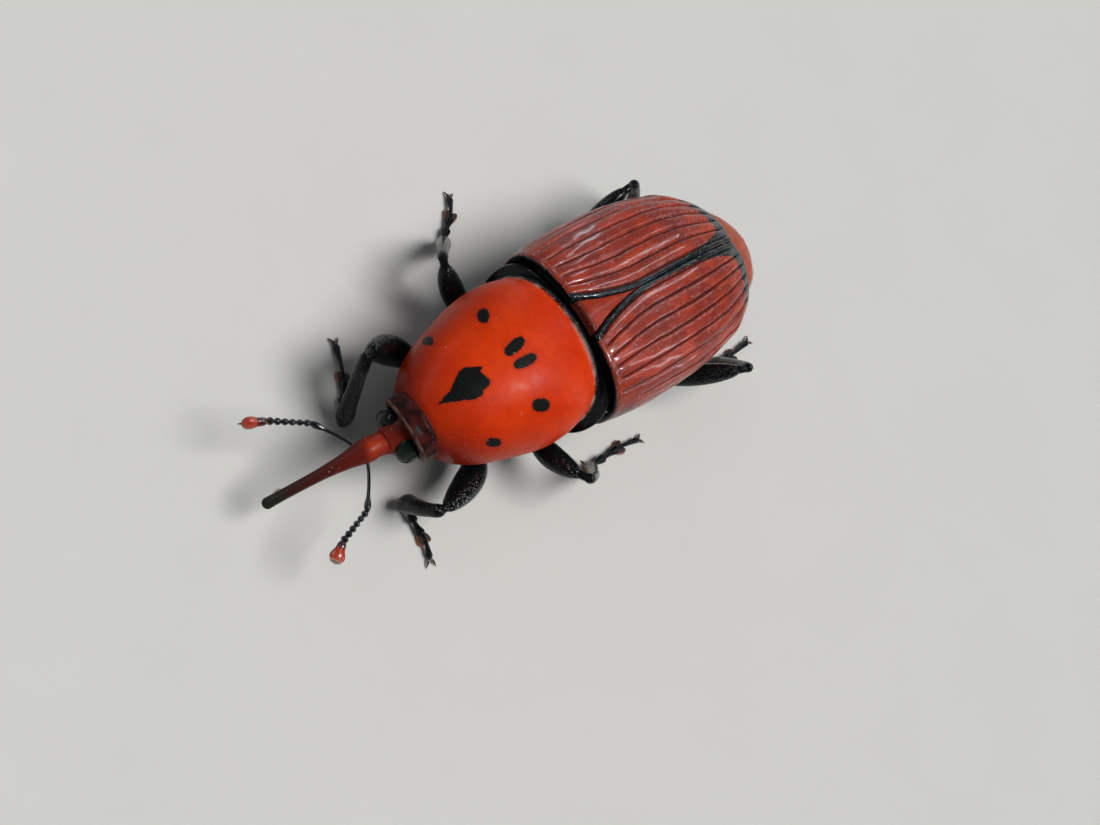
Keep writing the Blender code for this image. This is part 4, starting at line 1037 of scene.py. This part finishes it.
def build_head(random):
    """Head capsule and rostrum as one flowing surface, cut into two pieces at the rostrum's base."""
    centre, direction = collar_frame()
    upward = Vector((1, 0, 0)).cross(direction)
    if upward.z < 0:
        upward.negate()
    centres, sizes, shares = [], [], []
    for distance, radius in HEAD_RINGS:
        lift = HEAD_LIFT * max(distance, 0) / HEAD_RINGS[-1][0]
        centres.append(np.array(centre + direction * distance + upward * lift))
        sizes.append((radius, radius))
        run = distance - HEAD_RINGS[0][0]
        shares.append(HEAD_START + HEAD_RUN * run / (HEAD_RINGS[-1][0] - HEAD_RINGS[0][0]))
    ring_at = curves_through(ROSTRUM_RINGS)
    for share in np.linspace(0.02, 0.945, 24):
        centres.append(along(ROSTRUM_PATH, share)[0])
        sizes.append(tuple(ring_at(share)))
        shares.append(share)
    walked = np.concatenate(([0.0], np.cumsum(np.linalg.norm(np.diff(centres, axis=0), axis=1))))
    centre_at = curves_through([(w, *c) for w, c in zip(walked, centres)])
    size_at = curves_through([(w, *s) for w, s in zip(walked, sizes)])
    share_at = curve_through(list(zip(walked, shares)))
    place = np.linspace(0, walked[-1], count_of(260))
    centre_line, size, share = centre_at(place), size_at(place), share_at(place)
    turn = np.linspace(0, math.pi / 2, SNOUT_CAP_ROWS)[1:]
    heading = unit(centre_line[-1] - centre_line[-2])
    end_centres = centre_line[-1] + heading * (np.sin(turn) * size[-1, 0] * 0.95)[:, None]
    end_sizes = np.maximum(np.cos(turn)[:, None] * size[-1], 1e-4)
    centre_line = np.concatenate((centre_line, end_centres))
    size = np.concatenate((size, end_sizes))
    share = np.concatenate((share, np.ones(len(turn))))
    heading = unit(np.gradient(centre_line, axis=0))
    angle = circle(count_of(96))
    ridge = SNOUT_RIDGE * smooth_step(share, 0.10, 0.25)[:, None] * hump(angle, math.pi / 2, 0.16)[None, :]
    low_side = np.minimum(*[np.abs(angle - math.radians(place)) for place in SCROBE_PLACES])
    scrobe = SCROBE_DEPTH * (hump(share, 0.12, 0.07)[:, None] * hump(low_side, 0.0, 0.30)[None, :])
    change = 1 - (scrobe - ridge) / np.maximum(size[:, :1], 0.3)
    points = tube(centre_line, heading, (0.0, 0.0, 1.0), size, angle, change[..., None])
    points = turned(points, head_turn())
    values = {
        "along": share[:, None],
        "under": np.broadcast_to(smooth_step(np.sin(angle), -0.2, -0.8), points.shape[:2]),
        "dusty": smooth_step(share, 0.25, 0.5)[:, None] * hump(angle, math.pi + 0.15, 0.40)[None, :],
        # Top of the bulge near the base, where the painted light goes.
        "core": hump(share, 0.055, 0.045)[:, None] * hump(angle, math.pi * 0.53, 0.65)[None, :],
    }
    cut = int(np.searchsorted(share, HEAD_CUT))
    for name, node, part in (("head_capsule", "head", slice(0, cut + 1)),
                             ("rostrum_snout", "rostrum", slice(cut, None))):
        own = {key: value[part] for key, value in values.items()}
        add_piece(name, [(points[part], own)], node, [node])
    facing = direction.to_track_quat("Z", "Y").to_matrix().to_4x4()
    neck = ellipsoid(centre - direction * NECK_SETBACK, NECK_HALF_SIZE, facing, 30, 60)
    add_piece("neck_membrane", [(turned(neck, head_turn()), {})], "head", look="membranes", flip=True)
    for label, mirror in (("left", 1), ("right", -1)):
        tilt = Matrix.Rotation(-EYE_LEAN * mirror, 4, "Y") @ Matrix.Rotation(EYE_PITCH, 4, "X")
        ball = turned(ellipsoid(mirrored(EYE_PLACE, mirror), EYE_HALF_SIZE, tilt, 60, 80), head_turn())
        add_piece(f"eye_{label}_facets", [(ball, {})], "eyes", [f"eye_{label}"], flip=True)
    patch = (np.abs(share - TUFT_PLACE) < 0.03)[:, None] & (normals_of(points) @ np.array(TUFT_SIDE) > 0.80)
    roots, normal = pick(points, patch, 110, random)
    spread = random.normal(0, 0.5, normal.shape)
    return roots, normal + spread, normal + spread * 1.6, 0.10 + 0.16 * random.random(len(roots)), 0.007


# ---- Antennae

def build_antenna(side, random):
    insertion, elbow, chain_end, tip = [np.array(point) for point in ANTENNA_POINTS[side]]
    inward = np.array((0.0, insertion[1] + SCAPE_SETBACK, insertion[2]))
    root = insertion + unit(inward - insertion) * SCAPE_ROOT
    scape = limb((root, insertion, elbow + unit(elbow - insertion) * 0.02), SCAPE_RADII, 60, 28)
    add_piece(f"antenna_{side}_scape_shaft", [scape], "antennae", [f"antenna_{side}_scape"])

    run = unit(chain_end - elbow)
    beads = []
    places = np.linspace(CHAIN_START, np.linalg.norm(chain_end - elbow) - CHAIN_END, len(BEAD_RADII))
    spacing = places[1] - places[0]
    for place, radius in zip(places, BEAD_RADII):
        start, end = elbow + run * (place - spacing * 0.44), elbow + run * (place + spacing * 0.36)
        rings = [(share, radius * fullness) for share, fullness in BEAD_PROFILE]
        beads.append(limb((start, end), rings, 18, 24))
    stalk = limb((elbow - run * 0.1, chain_end + run * 0.15), STALK_RADII, 12, 12)
    add_piece(f"antenna_{side}_beads", [*beads, stalk], "antennae", [f"antenna_{side}_funicle"])

    club, values = limb((chain_end - run * 0.05, tip), CLUB_RINGS, 60, 48, CLUB_ROLL[side], 0.3)
    axis = unit(tip - chain_end)
    fan = [(club, values)]
    if side == "right":
        values["along"] = values["along"] * RIGHT_CLUB_COLOURS
        point, _ = limb((tip - axis * 0.10, tip + axis * 0.22), CLUB_POINT_RADII, 12, 16)
        fan.append((point, {"along": DARK_POINT}))
    add_piece(f"antenna_{side}_club_fan", fan, "clubs", [f"antenna_{side}_club"])
    return hairs_on(club, values["along"] > NAP_START, 700, axis, NAP, (0.05, 0.03), 0.006, random)


# ---- Elytra

def hull(angle, y, raised=0.0):
    """Points of the outer surface over the elytra: angle 90 degrees is the top, 0 the left side."""
    across, up = oval(angle, HULL_SQUARENESS)
    widest = widest_at(y)
    rise = np.where(up > 0, top_at(y) + raised - widest, widest - underside_at(y))
    return np.stack(((half_width_at(y) + raised) * across, y + 0 * up, widest + rise * up), -1)


def angle_at_distance(y, distance):
    """Angle on the hull at a distance walked down from the top, for arrays of places, and the whole walk."""
    angles = np.linspace(math.pi / 2, ELYTRON_EDGE_ANGLE, WALK_STEPS)
    flat_y, flat_d = y.reshape(-1), distance.reshape(-1)
    found, totals = np.empty_like(flat_y), np.empty_like(flat_y)
    for start in range(0, len(flat_y), WALK_BATCH):
        part = slice(start, start + WALK_BATCH)
        points = hull(angles[:, None], flat_y[None, part])
        walked = np.cumsum(np.linalg.norm(np.diff(points, axis=0), axis=-1), axis=0)
        walked = np.concatenate((np.zeros((1, walked.shape[1])), walked))
        total = walked[-1]
        target = np.clip(flat_d[part], 0, total - 1e-6)
        above = (walked > target).argmax(axis=0)
        column = np.arange(len(target))
        before, after = walked[above - 1, column], walked[above, column]
        t = (target - before) / (after - before)
        found[part] = angles[above - 1] + (angles[above] - angles[above - 1]) * t
        totals[part] = total
    return found.reshape(y.shape), totals.reshape(y.shape)


def inner_margin(y):
    """Distance from the median line to the elytron's inner edge: beside the scutellum, then the suture."""
    return inner_margin_at(np.clip(y, INNER_MARGIN[0][0] - 0.1, INNER_MARGIN[-1][0]))


def elytron_grid():
    """Points of the left elytron with its painted values."""
    spread = np.linspace(0, 1, count_of(15), endpoint=False)
    spread = spread - 0.125 * np.sin(2 * math.pi * spread)
    columns = [
        *INNER_EDGE,
        *[(0.0, BEAD_WIDTH * t, BEAD_HEIGHT * math.sin(math.pi * min(t * 1.05, 1.0)) ** 0.7)
          for t in np.linspace(0.18, 0.96, count_of(8))],
        *[((row + part) / STRIAE, BEAD_WIDTH, 0.0) for row in range(STRIAE) for part in spread],
        *OUTER_EDGE,
    ]
    share, offset, edge_height = np.array(columns).T
    turned_under = edge_height < TURNED_UNDER
    y_start = ELYTRA_BASE + SHOULDER_SWEEP * share ** 3
    y_end = rear_margin_at(share)
    flat = np.zeros_like(share)
    rows = [
        *[(y_start + shift, flat + height) for shift, height in BASE_EDGE],
        *[(y_start + 0.2 + (y_end - y_start - 0.4) * t, flat) for t in np.linspace(0, 1, count_of(260))],
        *[(y_end - shift, flat + height) for shift, height in REAR_EDGE],
    ]
    y = np.array([row[0] for row in rows])
    end_height = np.array([row[1] for row in rows])
    share = np.broadcast_to(share, y.shape)
    _, total = angle_at_distance(y, np.zeros_like(y))
    start = inner_margin(y) * (1 - share) ** 3
    distance = start + offset * (1 - share) + (total - 0.001) * share
    angle, total = angle_at_distance(y, np.clip(distance, 0, total))

    width = np.maximum(total - inner_margin(y) - BEAD_WIDTH, 0.5)
    row = share * STRIAE
    nearest = np.round(row)
    wander = STRIA_WANDER * np.sin(y * 0.9 + nearest * 1.7) + 0.008 * np.sin(y * 2.9 + nearest * 2.3)
    beside = (row - nearest) * width / STRIAE + wander * (row > 0.3)
    to_groove = np.abs(beside) + BEAD_WIDTH - offset[None, :]
    from_base, from_apex = y - y_start, y_end - y
    fade = smooth_step(from_base, 0.15, 0.9) * smooth_step(from_apex, 0.25, 1.3)
    fade = fade * np.where(nearest >= 6, smooth_step(from_base, 1.2, 2.6), 1.0) * (nearest < STRIAE)
    on_rows = fade * (offset >= BEAD_WIDTH)[None, :]
    groove = hump(to_groove, 0.0, STRIA_WIDTH) * fade
    puncture = 0.5 + 0.5 * np.cos(y * 2 * math.pi / PUNCTURE_SPACING + nearest * 2.1)
    groove_depth = groove * STRIA_DEPTH * (0.90 + 0.14 * puncture)
    interval = np.clip(to_groove / (width / STRIAE / 2), 0, 1)
    swell = INTERVAL_SWELL * np.sin(interval * math.pi / 2) * on_rows
    ridge = hump(beside, *RIDGE_BESIDE_GROOVE) * on_rows
    crest = hump(np.abs(beside), *CREST_BESIDE_GROOVE) * on_rows
    callus = (
        0.09 * hump(y, 2.3, 0.9) * hump(share, 0.70, 0.10)
        + 0.10 * hump(from_apex, 2.1, 0.7) * hump(share, 0.60, 0.10)
    )
    unevenness = 0.010 * np.sin(y * 2.3 + row * 0.9) * np.sin(y * 1.1 - row * 1.7) * fade
    height = -groove_depth + swell - 0.04 * fade + callus + unevenness + 0.022 * ridge
    base_lip = 0.02 * hump(from_base, 0.22, 0.12)
    height = np.where(turned_under[None, :], edge_height[None, :], height + edge_height[None, :] + base_lip)
    grid = hull(angle, y, np.maximum(height + end_height, DEEPEST_EDGE))

    from_inner = offset[None, :] + share * width
    margin = from_inner - black_suture_at(y)
    margin = np.minimum(margin, from_base - BLACK_AT_BASE)
    margin = np.minimum(margin, from_apex - black_apex_at(share))
    margin = np.where(turned_under[None, :] | (end_height < BLACK_EDGE), WELL_INSIDE, margin)
    dusky = np.clip(
        0.75 * hump(from_base, 0.9, 1.1) * smooth_step(share, 0.55, 0.85)
        + 0.70 * hump(from_apex, 2.2, 1.1) * hump(share, 0.85, 0.20)
        + 0.35 * smooth_step(share, 0.80, 1.0) + 0.25 * hump(from_base, 0.0, 0.9), 0, 1)
    values = {
        "groove": groove, "ridge": ridge, "crest": crest, "margin": margin, "dusky": dusky,
        "apex": smooth_step(from_apex, 1.4, 0.5),
    }
    return grid, values


def build_elytra():
    grid, values = elytron_grid()
    for side, mirror in (("left", 1), ("right", -1)):
        add_piece(f"elytron_{side}_case", [(mirrored(grid, mirror), values)], "elytra", [f"elytron_{side}"],
                  closed=False, flip=mirror > 0)


def build_scutellum():
    """The long triangular plate between the bases of the elytra, gently domed."""
    rows, columns = count_of(70), count_of(44)
    y = np.linspace(ELYTRA_BASE - 0.02, INNER_MARGIN[-1][0] - 0.10, rows)[:, None]
    across = np.linspace(-1, 1, columns)[None, :]
    half = np.maximum(inner_margin(y) - 0.05, 0.02)
    top = hull(np.full_like(y, math.pi / 2), y)[..., 2]
    dome = 0.05 - 0.07 * across ** 2 - 0.45 * smooth_step(np.abs(across), 0.90, 1.0)
    fall = -0.35 * smooth_step(y, ELYTRA_BASE + 0.22, ELYTRA_BASE - 0.02)
    ripple = 0.005 * np.sin(y * 5.0 + across * 2.0)
    z = top - 0.04 * (across * half) ** 2 + dome + fall + ripple * (1 - across ** 2)
    grid = np.stack((half * across, np.broadcast_to(y, z.shape), z), -1)
    shade = 0.9 * smooth_step(y, ELYTRA_BASE + 0.75, ELYTRA_BASE)
    shade = shade + 0.5 * smooth_step(np.abs(across), 0.80, 1.0)
    add_piece("scutellum_plate", [(grid, {"shade": np.clip(shade, 0, 1)})], "scutellum", ["scutellum"],
              closed=False)


# ---- Thorax, abdomen and pygidium

def body_grid(rows, squareness=HULL_SQUARENESS):
    """A closed body section at every row of (y, half width, low, widest, top, lean)."""
    table = np.array(rows, float)
    angle = circle(count_of(200))[None, :]
    return section(*[table[:, k, None] for k in range(6)], angle, squareness), angle


def hull_row(y, inset, lean=0.0, groove=0.0):
    return (
        y, half_width_at(y) - inset - groove * 0.5, underside_at(y) + groove, widest_at(y),
        top_at(y) - UNDER_ELYTRA, lean,
    )


def build_thorax():
    rings = [(MESOTHORAX_SPAN[0] + place, half, low, widest, top, MESOTHORAX_LEAN)
             for place, half, low, widest, top in MESOTHORAX_RINGS]
    end = MESOTHORAX_SPAN[1]
    rings.append(hull_row(end - 0.7, UNDER_ELYTRA, MESOTHORAX_LEAN * 0.35))
    rings.append(hull_row(end, UNDER_ELYTRA))
    profile = curves_through([(i, *ring) for i, ring in enumerate(rings)])
    grid, _ = body_grid(profile(np.linspace(0, len(rings) - 1, count_of(70))))
    add_piece("mesothorax_ring", [(grid, {})], "thorax_underside", ["mesothorax"])

    start, end = METATHORAX_SPAN
    y = np.linspace(start, end, count_of(60))
    grid, angle = body_grid([hull_row(place, UNDER_ELYTRA) for place in y])
    low = hump(angle, 1.5 * math.pi, 0.06)
    grid[..., 2] += MEDIAN_FURROW * low * smooth_step(y, start + 0.4, start + 1.0)[:, None]
    add_piece("metathorax_ring", [(grid, {})], "thorax_underside", ["metathorax"])

    start, end = ABDOMEN_SPAN
    y = np.linspace(start, end, count_of(150))
    share = (y - start) / (end - start)
    phase = np.mod(share * STERNITES, 1.0)
    groove = STERNITE_GROOVE * (1 - smooth_step(phase, 0.0, 0.12) * smooth_step(phase, 1.0, 0.96))
    rows = [hull_row(a, UNDER_ELYTRA + ABDOMEN_TAPER * b, HIND_LEAN * b ** 1.5, c)
            for a, b, c in zip(y, share, groove)]
    grid, _ = body_grid(rows)
    add_piece("abdomen_rings", [(grid, {})], "abdomen", ["abdomen"])


def build_pygidium(random):
    rows = [
        (y, half, low, low + (top - low) * PYGIDIUM_FULLNESS, top, lean)
        for y, half, low, top, lean in PYGIDIUM_STATIONS
    ]
    profile = curves_through(rows)
    y = np.linspace(rows[0][0], rows[-1][0], count_of(80))
    table = np.concatenate((y[:, None], profile(y)), axis=1)
    last = table[-1].copy()
    last[0] += 0.05
    last[1] = 0.01
    last[2] = last[4] = (table[-1][2] + table[-1][4]) / 2
    last[3] = last[2]
    grid, angle = body_grid(np.concatenate((table, last[None])), PYGIDIUM_SQUARENESS)
    keel = KEEL_HEIGHT * hump(angle, math.pi / 2, 0.12)
    grid[..., 2] += keel * smooth_step(grid[..., 1], 15.5, 16.5)
    below = smooth_step(np.sin(angle), 0.10, -0.25)
    shade = np.clip(below + 0.7 * smooth_step(grid[..., 1], 16.15, 15.5), 0, 1)
    add_piece("pygidium_plate", [(grid, {"shade": shade})], "pygidium", ["pygidium"])
    keep = (grid[..., 1] > FRINGE_START) & (np.sin(angle) > -0.25) & (np.sin(angle) < 0.55)
    return hairs_on(grid, keep, 520, np.array(FRINGE_LAY), FRINGE, (0.12, 0.14), 0.006, random)


# ---- Legs

def hip_point(pair, mirror):
    centre, half_sizes = COXAE[pair]
    direction = unit(mirrored(HIP_DIRECTIONS[pair], mirror))
    reach = 1 / np.linalg.norm(direction / np.array(half_sizes)) + HIP_REACH
    return mirrored(centre, mirror) + direction * reach, direction


def flattened(rings, thickness, flatness):
    return [(share, radius * thickness, radius * thickness * flatness) for share, radius in rings]


def build_leg(pair, side, random):
    """One leg from coxa to claws; returns the places of its pale and golden hairs."""
    mirror = 1 if side == "left" else -1
    tag = f"{pair}_{side}"
    bend, knee, ankle = [np.array(point) for point in LEG_POINTS[pair, side]]
    pad, claws = [np.array((*point, 0.0)) for point in FOOT_POINTS[pair, side]]
    centre, half_sizes = COXAE[pair]
    coxa = ellipsoid(mirrored(centre, mirror), half_sizes, None, 36, 60)
    add_piece(f"coxa_{tag}_ball", [(coxa, {})], "coxae", [f"coxa_{tag}"], flip=True)

    hip, hip_direction = hip_point(pair, mirror)
    direction, shin = unit(knee - bend), unit(ankle - knee)
    leg_plane = unit(np.cross(direction, shin))
    femur_end = knee - direction * KNEE_FORWARD / 2
    path = (hip - hip_direction * TROCHANTER_DEPTH, hip + unit(bend - hip) * TROCHANTER_REACH)
    trochanter = limb(path, TROCHANTER_RADII, 20, 30)
    rings = flattened(FEMUR_RINGS, FEMUR_THICKNESS[pair], FEMUR_FLATNESS)
    femur, femur_values = limb((hip, bend, femur_end), rings, 90, 56, leg_plane)
    along_femur = femur_values["along"]
    facing = normals_of(femur)
    outside = facing @ np.array((mirror * 0.8, -0.2, 0.5))
    upper = facing @ np.array((mirror * 0.50, -0.20, 0.80))
    # Dust and painted glints on the upper side towards the knee.
    dusty = smooth_step(along_femur, 0.45, 0.80) * smooth_step(upper, 0.35, 0.80)
    femur_values["dusty"] = dusty * FEMUR_DUST_AND_GLINTS[pair]
    add_piece(f"femur_{tag}_shaft", [(femur, femur_values), trochanter], "femora", [f"femur_{tag}"])

    top = femur_end + direction * KNEE_FORWARD + shin * KNEE_DOWN
    path = (top, (top + ankle) / 2 + direction * TIBIA_BOW * 2, ankle)
    rings = flattened(TIBIA_RINGS, TIBIA_THICKNESS[pair], TIBIA_FLATNESS)
    tibia, tibia_values = limb(path, rings, 90, 48, leg_plane)
    along_tibia = tibia_values["along"]
    down = along(path, np.float64(1.0))[1]
    inward = unit(hip - ankle)
    turn = ankle + down * 0.15 + inward * 0.28
    point = turn + unit(down * 0.2 + inward) * SPUR_LENGTH * 0.6
    spur = limb((ankle - down * 0.35, turn, point), SPUR_RINGS, 24, 16, leg_plane)
    path = (femur_end - direction * 0.30, top - shin * 0.10, top + shin * 0.55)
    condyle = limb(path, CONDYLE_RADII, 24, 28, leg_plane)
    add_piece(f"tibia_{tag}_shaft", [(tibia, tibia_values), spur, condyle], "tibiae", [f"tibia_{tag}"])
    bristles = build_foot(ankle, pad, claws, tag, random)

    start, count = FEMUR_HAIRS[pair]
    outer = (along_femur > start) & (outside > 0.1)
    furry = (normals_of(tibia) @ (-direction) > 0.55) & (along_tibia > 0.35)
    lay = down * HAIR_LAY
    pale = [
        hairs_on(femur, outer, count, direction * HAIR_LAY, LYING, (0.07, 0.07), 0.0045, random),
        hairs_on(tibia, along_tibia > 0.10, 80, lay, LYING, (0.08, 0.08), 0.0045, random),
        hairs_on(tibia, along_tibia > 0.80, 130, lay, LYING, (0.08, 0.10), 0.005, random),
    ]
    brush = hairs_on(tibia, furry, 190, lay, BRUSH, (0.14, 0.16), 0.006, random)
    return pale, [brush, bristles]


def at_level(place, level):
    return np.array((place[0], place[1], level))


def build_foot(ankle, pad, claws, tag, random):
    """Two small segments, a two-lobed pad, the claw segment and two claws."""
    inward = unit(pad - at_level(ankle, 0))
    outward = unit(claws - pad)
    start = at_level(ankle, START_LEVEL) + inward * HEEL_CLEARANCE
    heel = at_level(pad - inward * PAD_REACH, PAD_LEVEL)
    joint = at_level((start + heel) / 2, JOINT_LEVEL)
    path = (ankle - np.array((0, 0, 0.1)), start + inward * 0.15)
    pieces = [limb(path, ANKLE_SOCKET_RADII, 14, 20)]
    for a, b in ((start - inward * 0.05, joint + inward * 0.06), (joint, heel + inward * 0.05)):
        pieces.append(limb((a, b), SEGMENT_RINGS, 26, 26))
    base = at_level(pad - outward * PAD_REACH / 2, PAD_LEVEL)
    claw_root = at_level(claws - outward * CLAW_LENGTH * CLAW_REACH, CLAW_ROOT_LEVEL)
    crest = at_level(base + (claw_root - base) * 0.6, CREST_LEVEL)
    pieces.append(limb((base, crest, claw_root), ONYCHIUM_RINGS, 44, 24))
    add_piece(f"tarsus_{tag}_segments", pieces, "tarsi", [f"tarsus_{tag}"])

    across = sideways(inward)
    facing = math.atan2(inward[1], inward[0])
    lobes, picked = [], []
    for sign in (1, -1):
        centre = at_level(pad + across * LOBE_OFFSET * sign, LOBE_LEVEL)
        turn = Matrix.Rotation(facing + LOBE_SPREAD * sign, 4, "Z")
        ball = ellipsoid(centre, LOBE_HALF_SIZE, turn, 26, 36)
        ball[..., 2] = np.maximum(ball[..., 2], SOLE_LEVEL)
        lobes.append((ball, {"sole": smooth_step(ball[..., 2], *SOLE_BAND)}))
        low, high = BRISTLE_BAND
        picked.append(pick(ball, (ball[..., 2] > low) & (ball[..., 2] < high), 300, random))
    add_piece(f"tarsus_{tag}_pads", lobes, "tarsi", [f"tarsus_{tag}"], look="pads", flip=True)

    across = sideways(outward)
    hooks = []
    for sign in (1, -1):
        heading = outward * math.cos(CLAW_SPREAD) + across * math.sin(CLAW_SPREAD) * sign
        root = claw_root - heading * CLAW_LENGTH * 0.2
        middle = claw_root + heading * CLAW_LENGTH * 0.55 + np.array((0, 0, CLAW_ARCH))
        tip = at_level(claw_root + heading * CLAW_LENGTH * 0.9, CLAW_TIP_LEVEL)
        hooks.append(limb((root, middle, tip), CLAW_RINGS, 30, 16))
    add_piece(f"tarsus_{tag}_claws", hooks, "tarsi", look="claws")

    roots, normal = [np.concatenate(found) for found in zip(*picked)]
    normal = unit(normal * np.array((1, 1, 0)))
    lean = np.array((0, 0, -BRISTLE_FALL))
    length = np.minimum(0.07 + 0.07 * random.random(len(roots)), (roots[:, 2] - 0.012) / 0.40)
    return roots, normal + lean, normal * 1.4 + lean * 0.4, np.maximum(length, 0.03), 0.006


# ---- Stage

def build_stage():
    """A pale floor that rises into a wide bowl far from the insect, soft lamps and the camera."""
    reach = np.concatenate(([0.0, 0.1], np.linspace(FLOOR_FLAT, FLOOR_EDGE, 40)))[:, None]
    angle = circle(96)[None, :]
    level = FLOOR_RISE * np.maximum(reach - FLOOR_FLAT, 0) ** 2 + 0 * angle
    bowl = np.stack((reach * np.cos(angle), reach * np.sin(angle), level), -1) / MM - (MEDIAN_X, RIM_Y, 0)
    floor = mesh_object("floor", bowl.reshape(-1, 3), grid_faces(*bowl.shape[:2], True), floor_finish())

    world = bpy.data.worlds.new("studio")
    bpy.context.scene.world = world
    world.use_nodes = True
    background = world.node_tree.nodes["Background"]
    background.inputs["Color"].default_value = WORLD_COLOUR
    background.inputs["Strength"].default_value = WORLD_STRENGTH
    for name, kind, place, width, power, colour, rays in LAMPS:
        data = bpy.data.lights.new(name, kind)
        if kind == "SUN":
            data.angle = width
        else:
            data.shape = "RECTANGLE"
            data.size, data.size_y = width
        data.energy = power
        data.color = colour
        lamp = bpy.data.objects.new(name, data)
        facing = Vector(place).to_track_quat("Z", "Y").to_matrix().to_4x4()
        lamp.matrix_world = Matrix.Translation(place) @ facing
        lamp.visible_glossy = rays == "glossy"
        lamp.visible_diffuse = rays == "diffuse"
        bpy.context.scene.collection.objects.link(lamp)

    data = bpy.data.cameras.new("camera")
    data.lens = CAMERA_LENS
    data.sensor_width = CAMERA_SENSOR
    data.clip_start, data.clip_end = CAMERA_CLIP
    camera = bpy.data.objects.new("camera", data)
    back = Vector(CAMERA_BACK).normalized()
    right = Vector(CAMERA_RIGHT)
    right = (right - back * right.dot(back)).normalized()
    up = back.cross(right)
    place = (Vector(CAMERA_PLACE) + Vector((MEDIAN_X, RIM_Y, 0))) * MM
    camera.matrix_world = Matrix.Translation(place) @ Matrix((right, up, back)).transposed().to_4x4()
    bpy.context.scene.collection.objects.link(camera)
    bpy.context.scene.camera = camera
    bpy.context.scene.view_settings.view_transform = "Standard"


def main():
    random = np.random.default_rng(HAIR_SEED)
    build_stage()
    build_prothorax()
    tuft = build_head(random)
    club_nap = [build_antenna(side, random) for side in ("left", "right")]
    build_thorax()
    build_scutellum()
    build_elytra()
    fringe = build_pygidium(random)
    pale, golden = [], []
    for pair, side in LEG_POINTS:
        leg_pale, leg_golden = build_leg(pair, side, random)
        pale += leg_pale
        golden += leg_golden
    add_hairs("leg_hairs", pale, "pale_hair")
    add_hairs("foot_bristles", golden, "golden_hair")
    add_hairs("club_nap", club_nap, "pale_hair")
    add_hairs("rostrum_tuft", [tuft], "pale_hair")
    add_hairs("pygidium_fringe", [fringe], "golden_hair")


main()
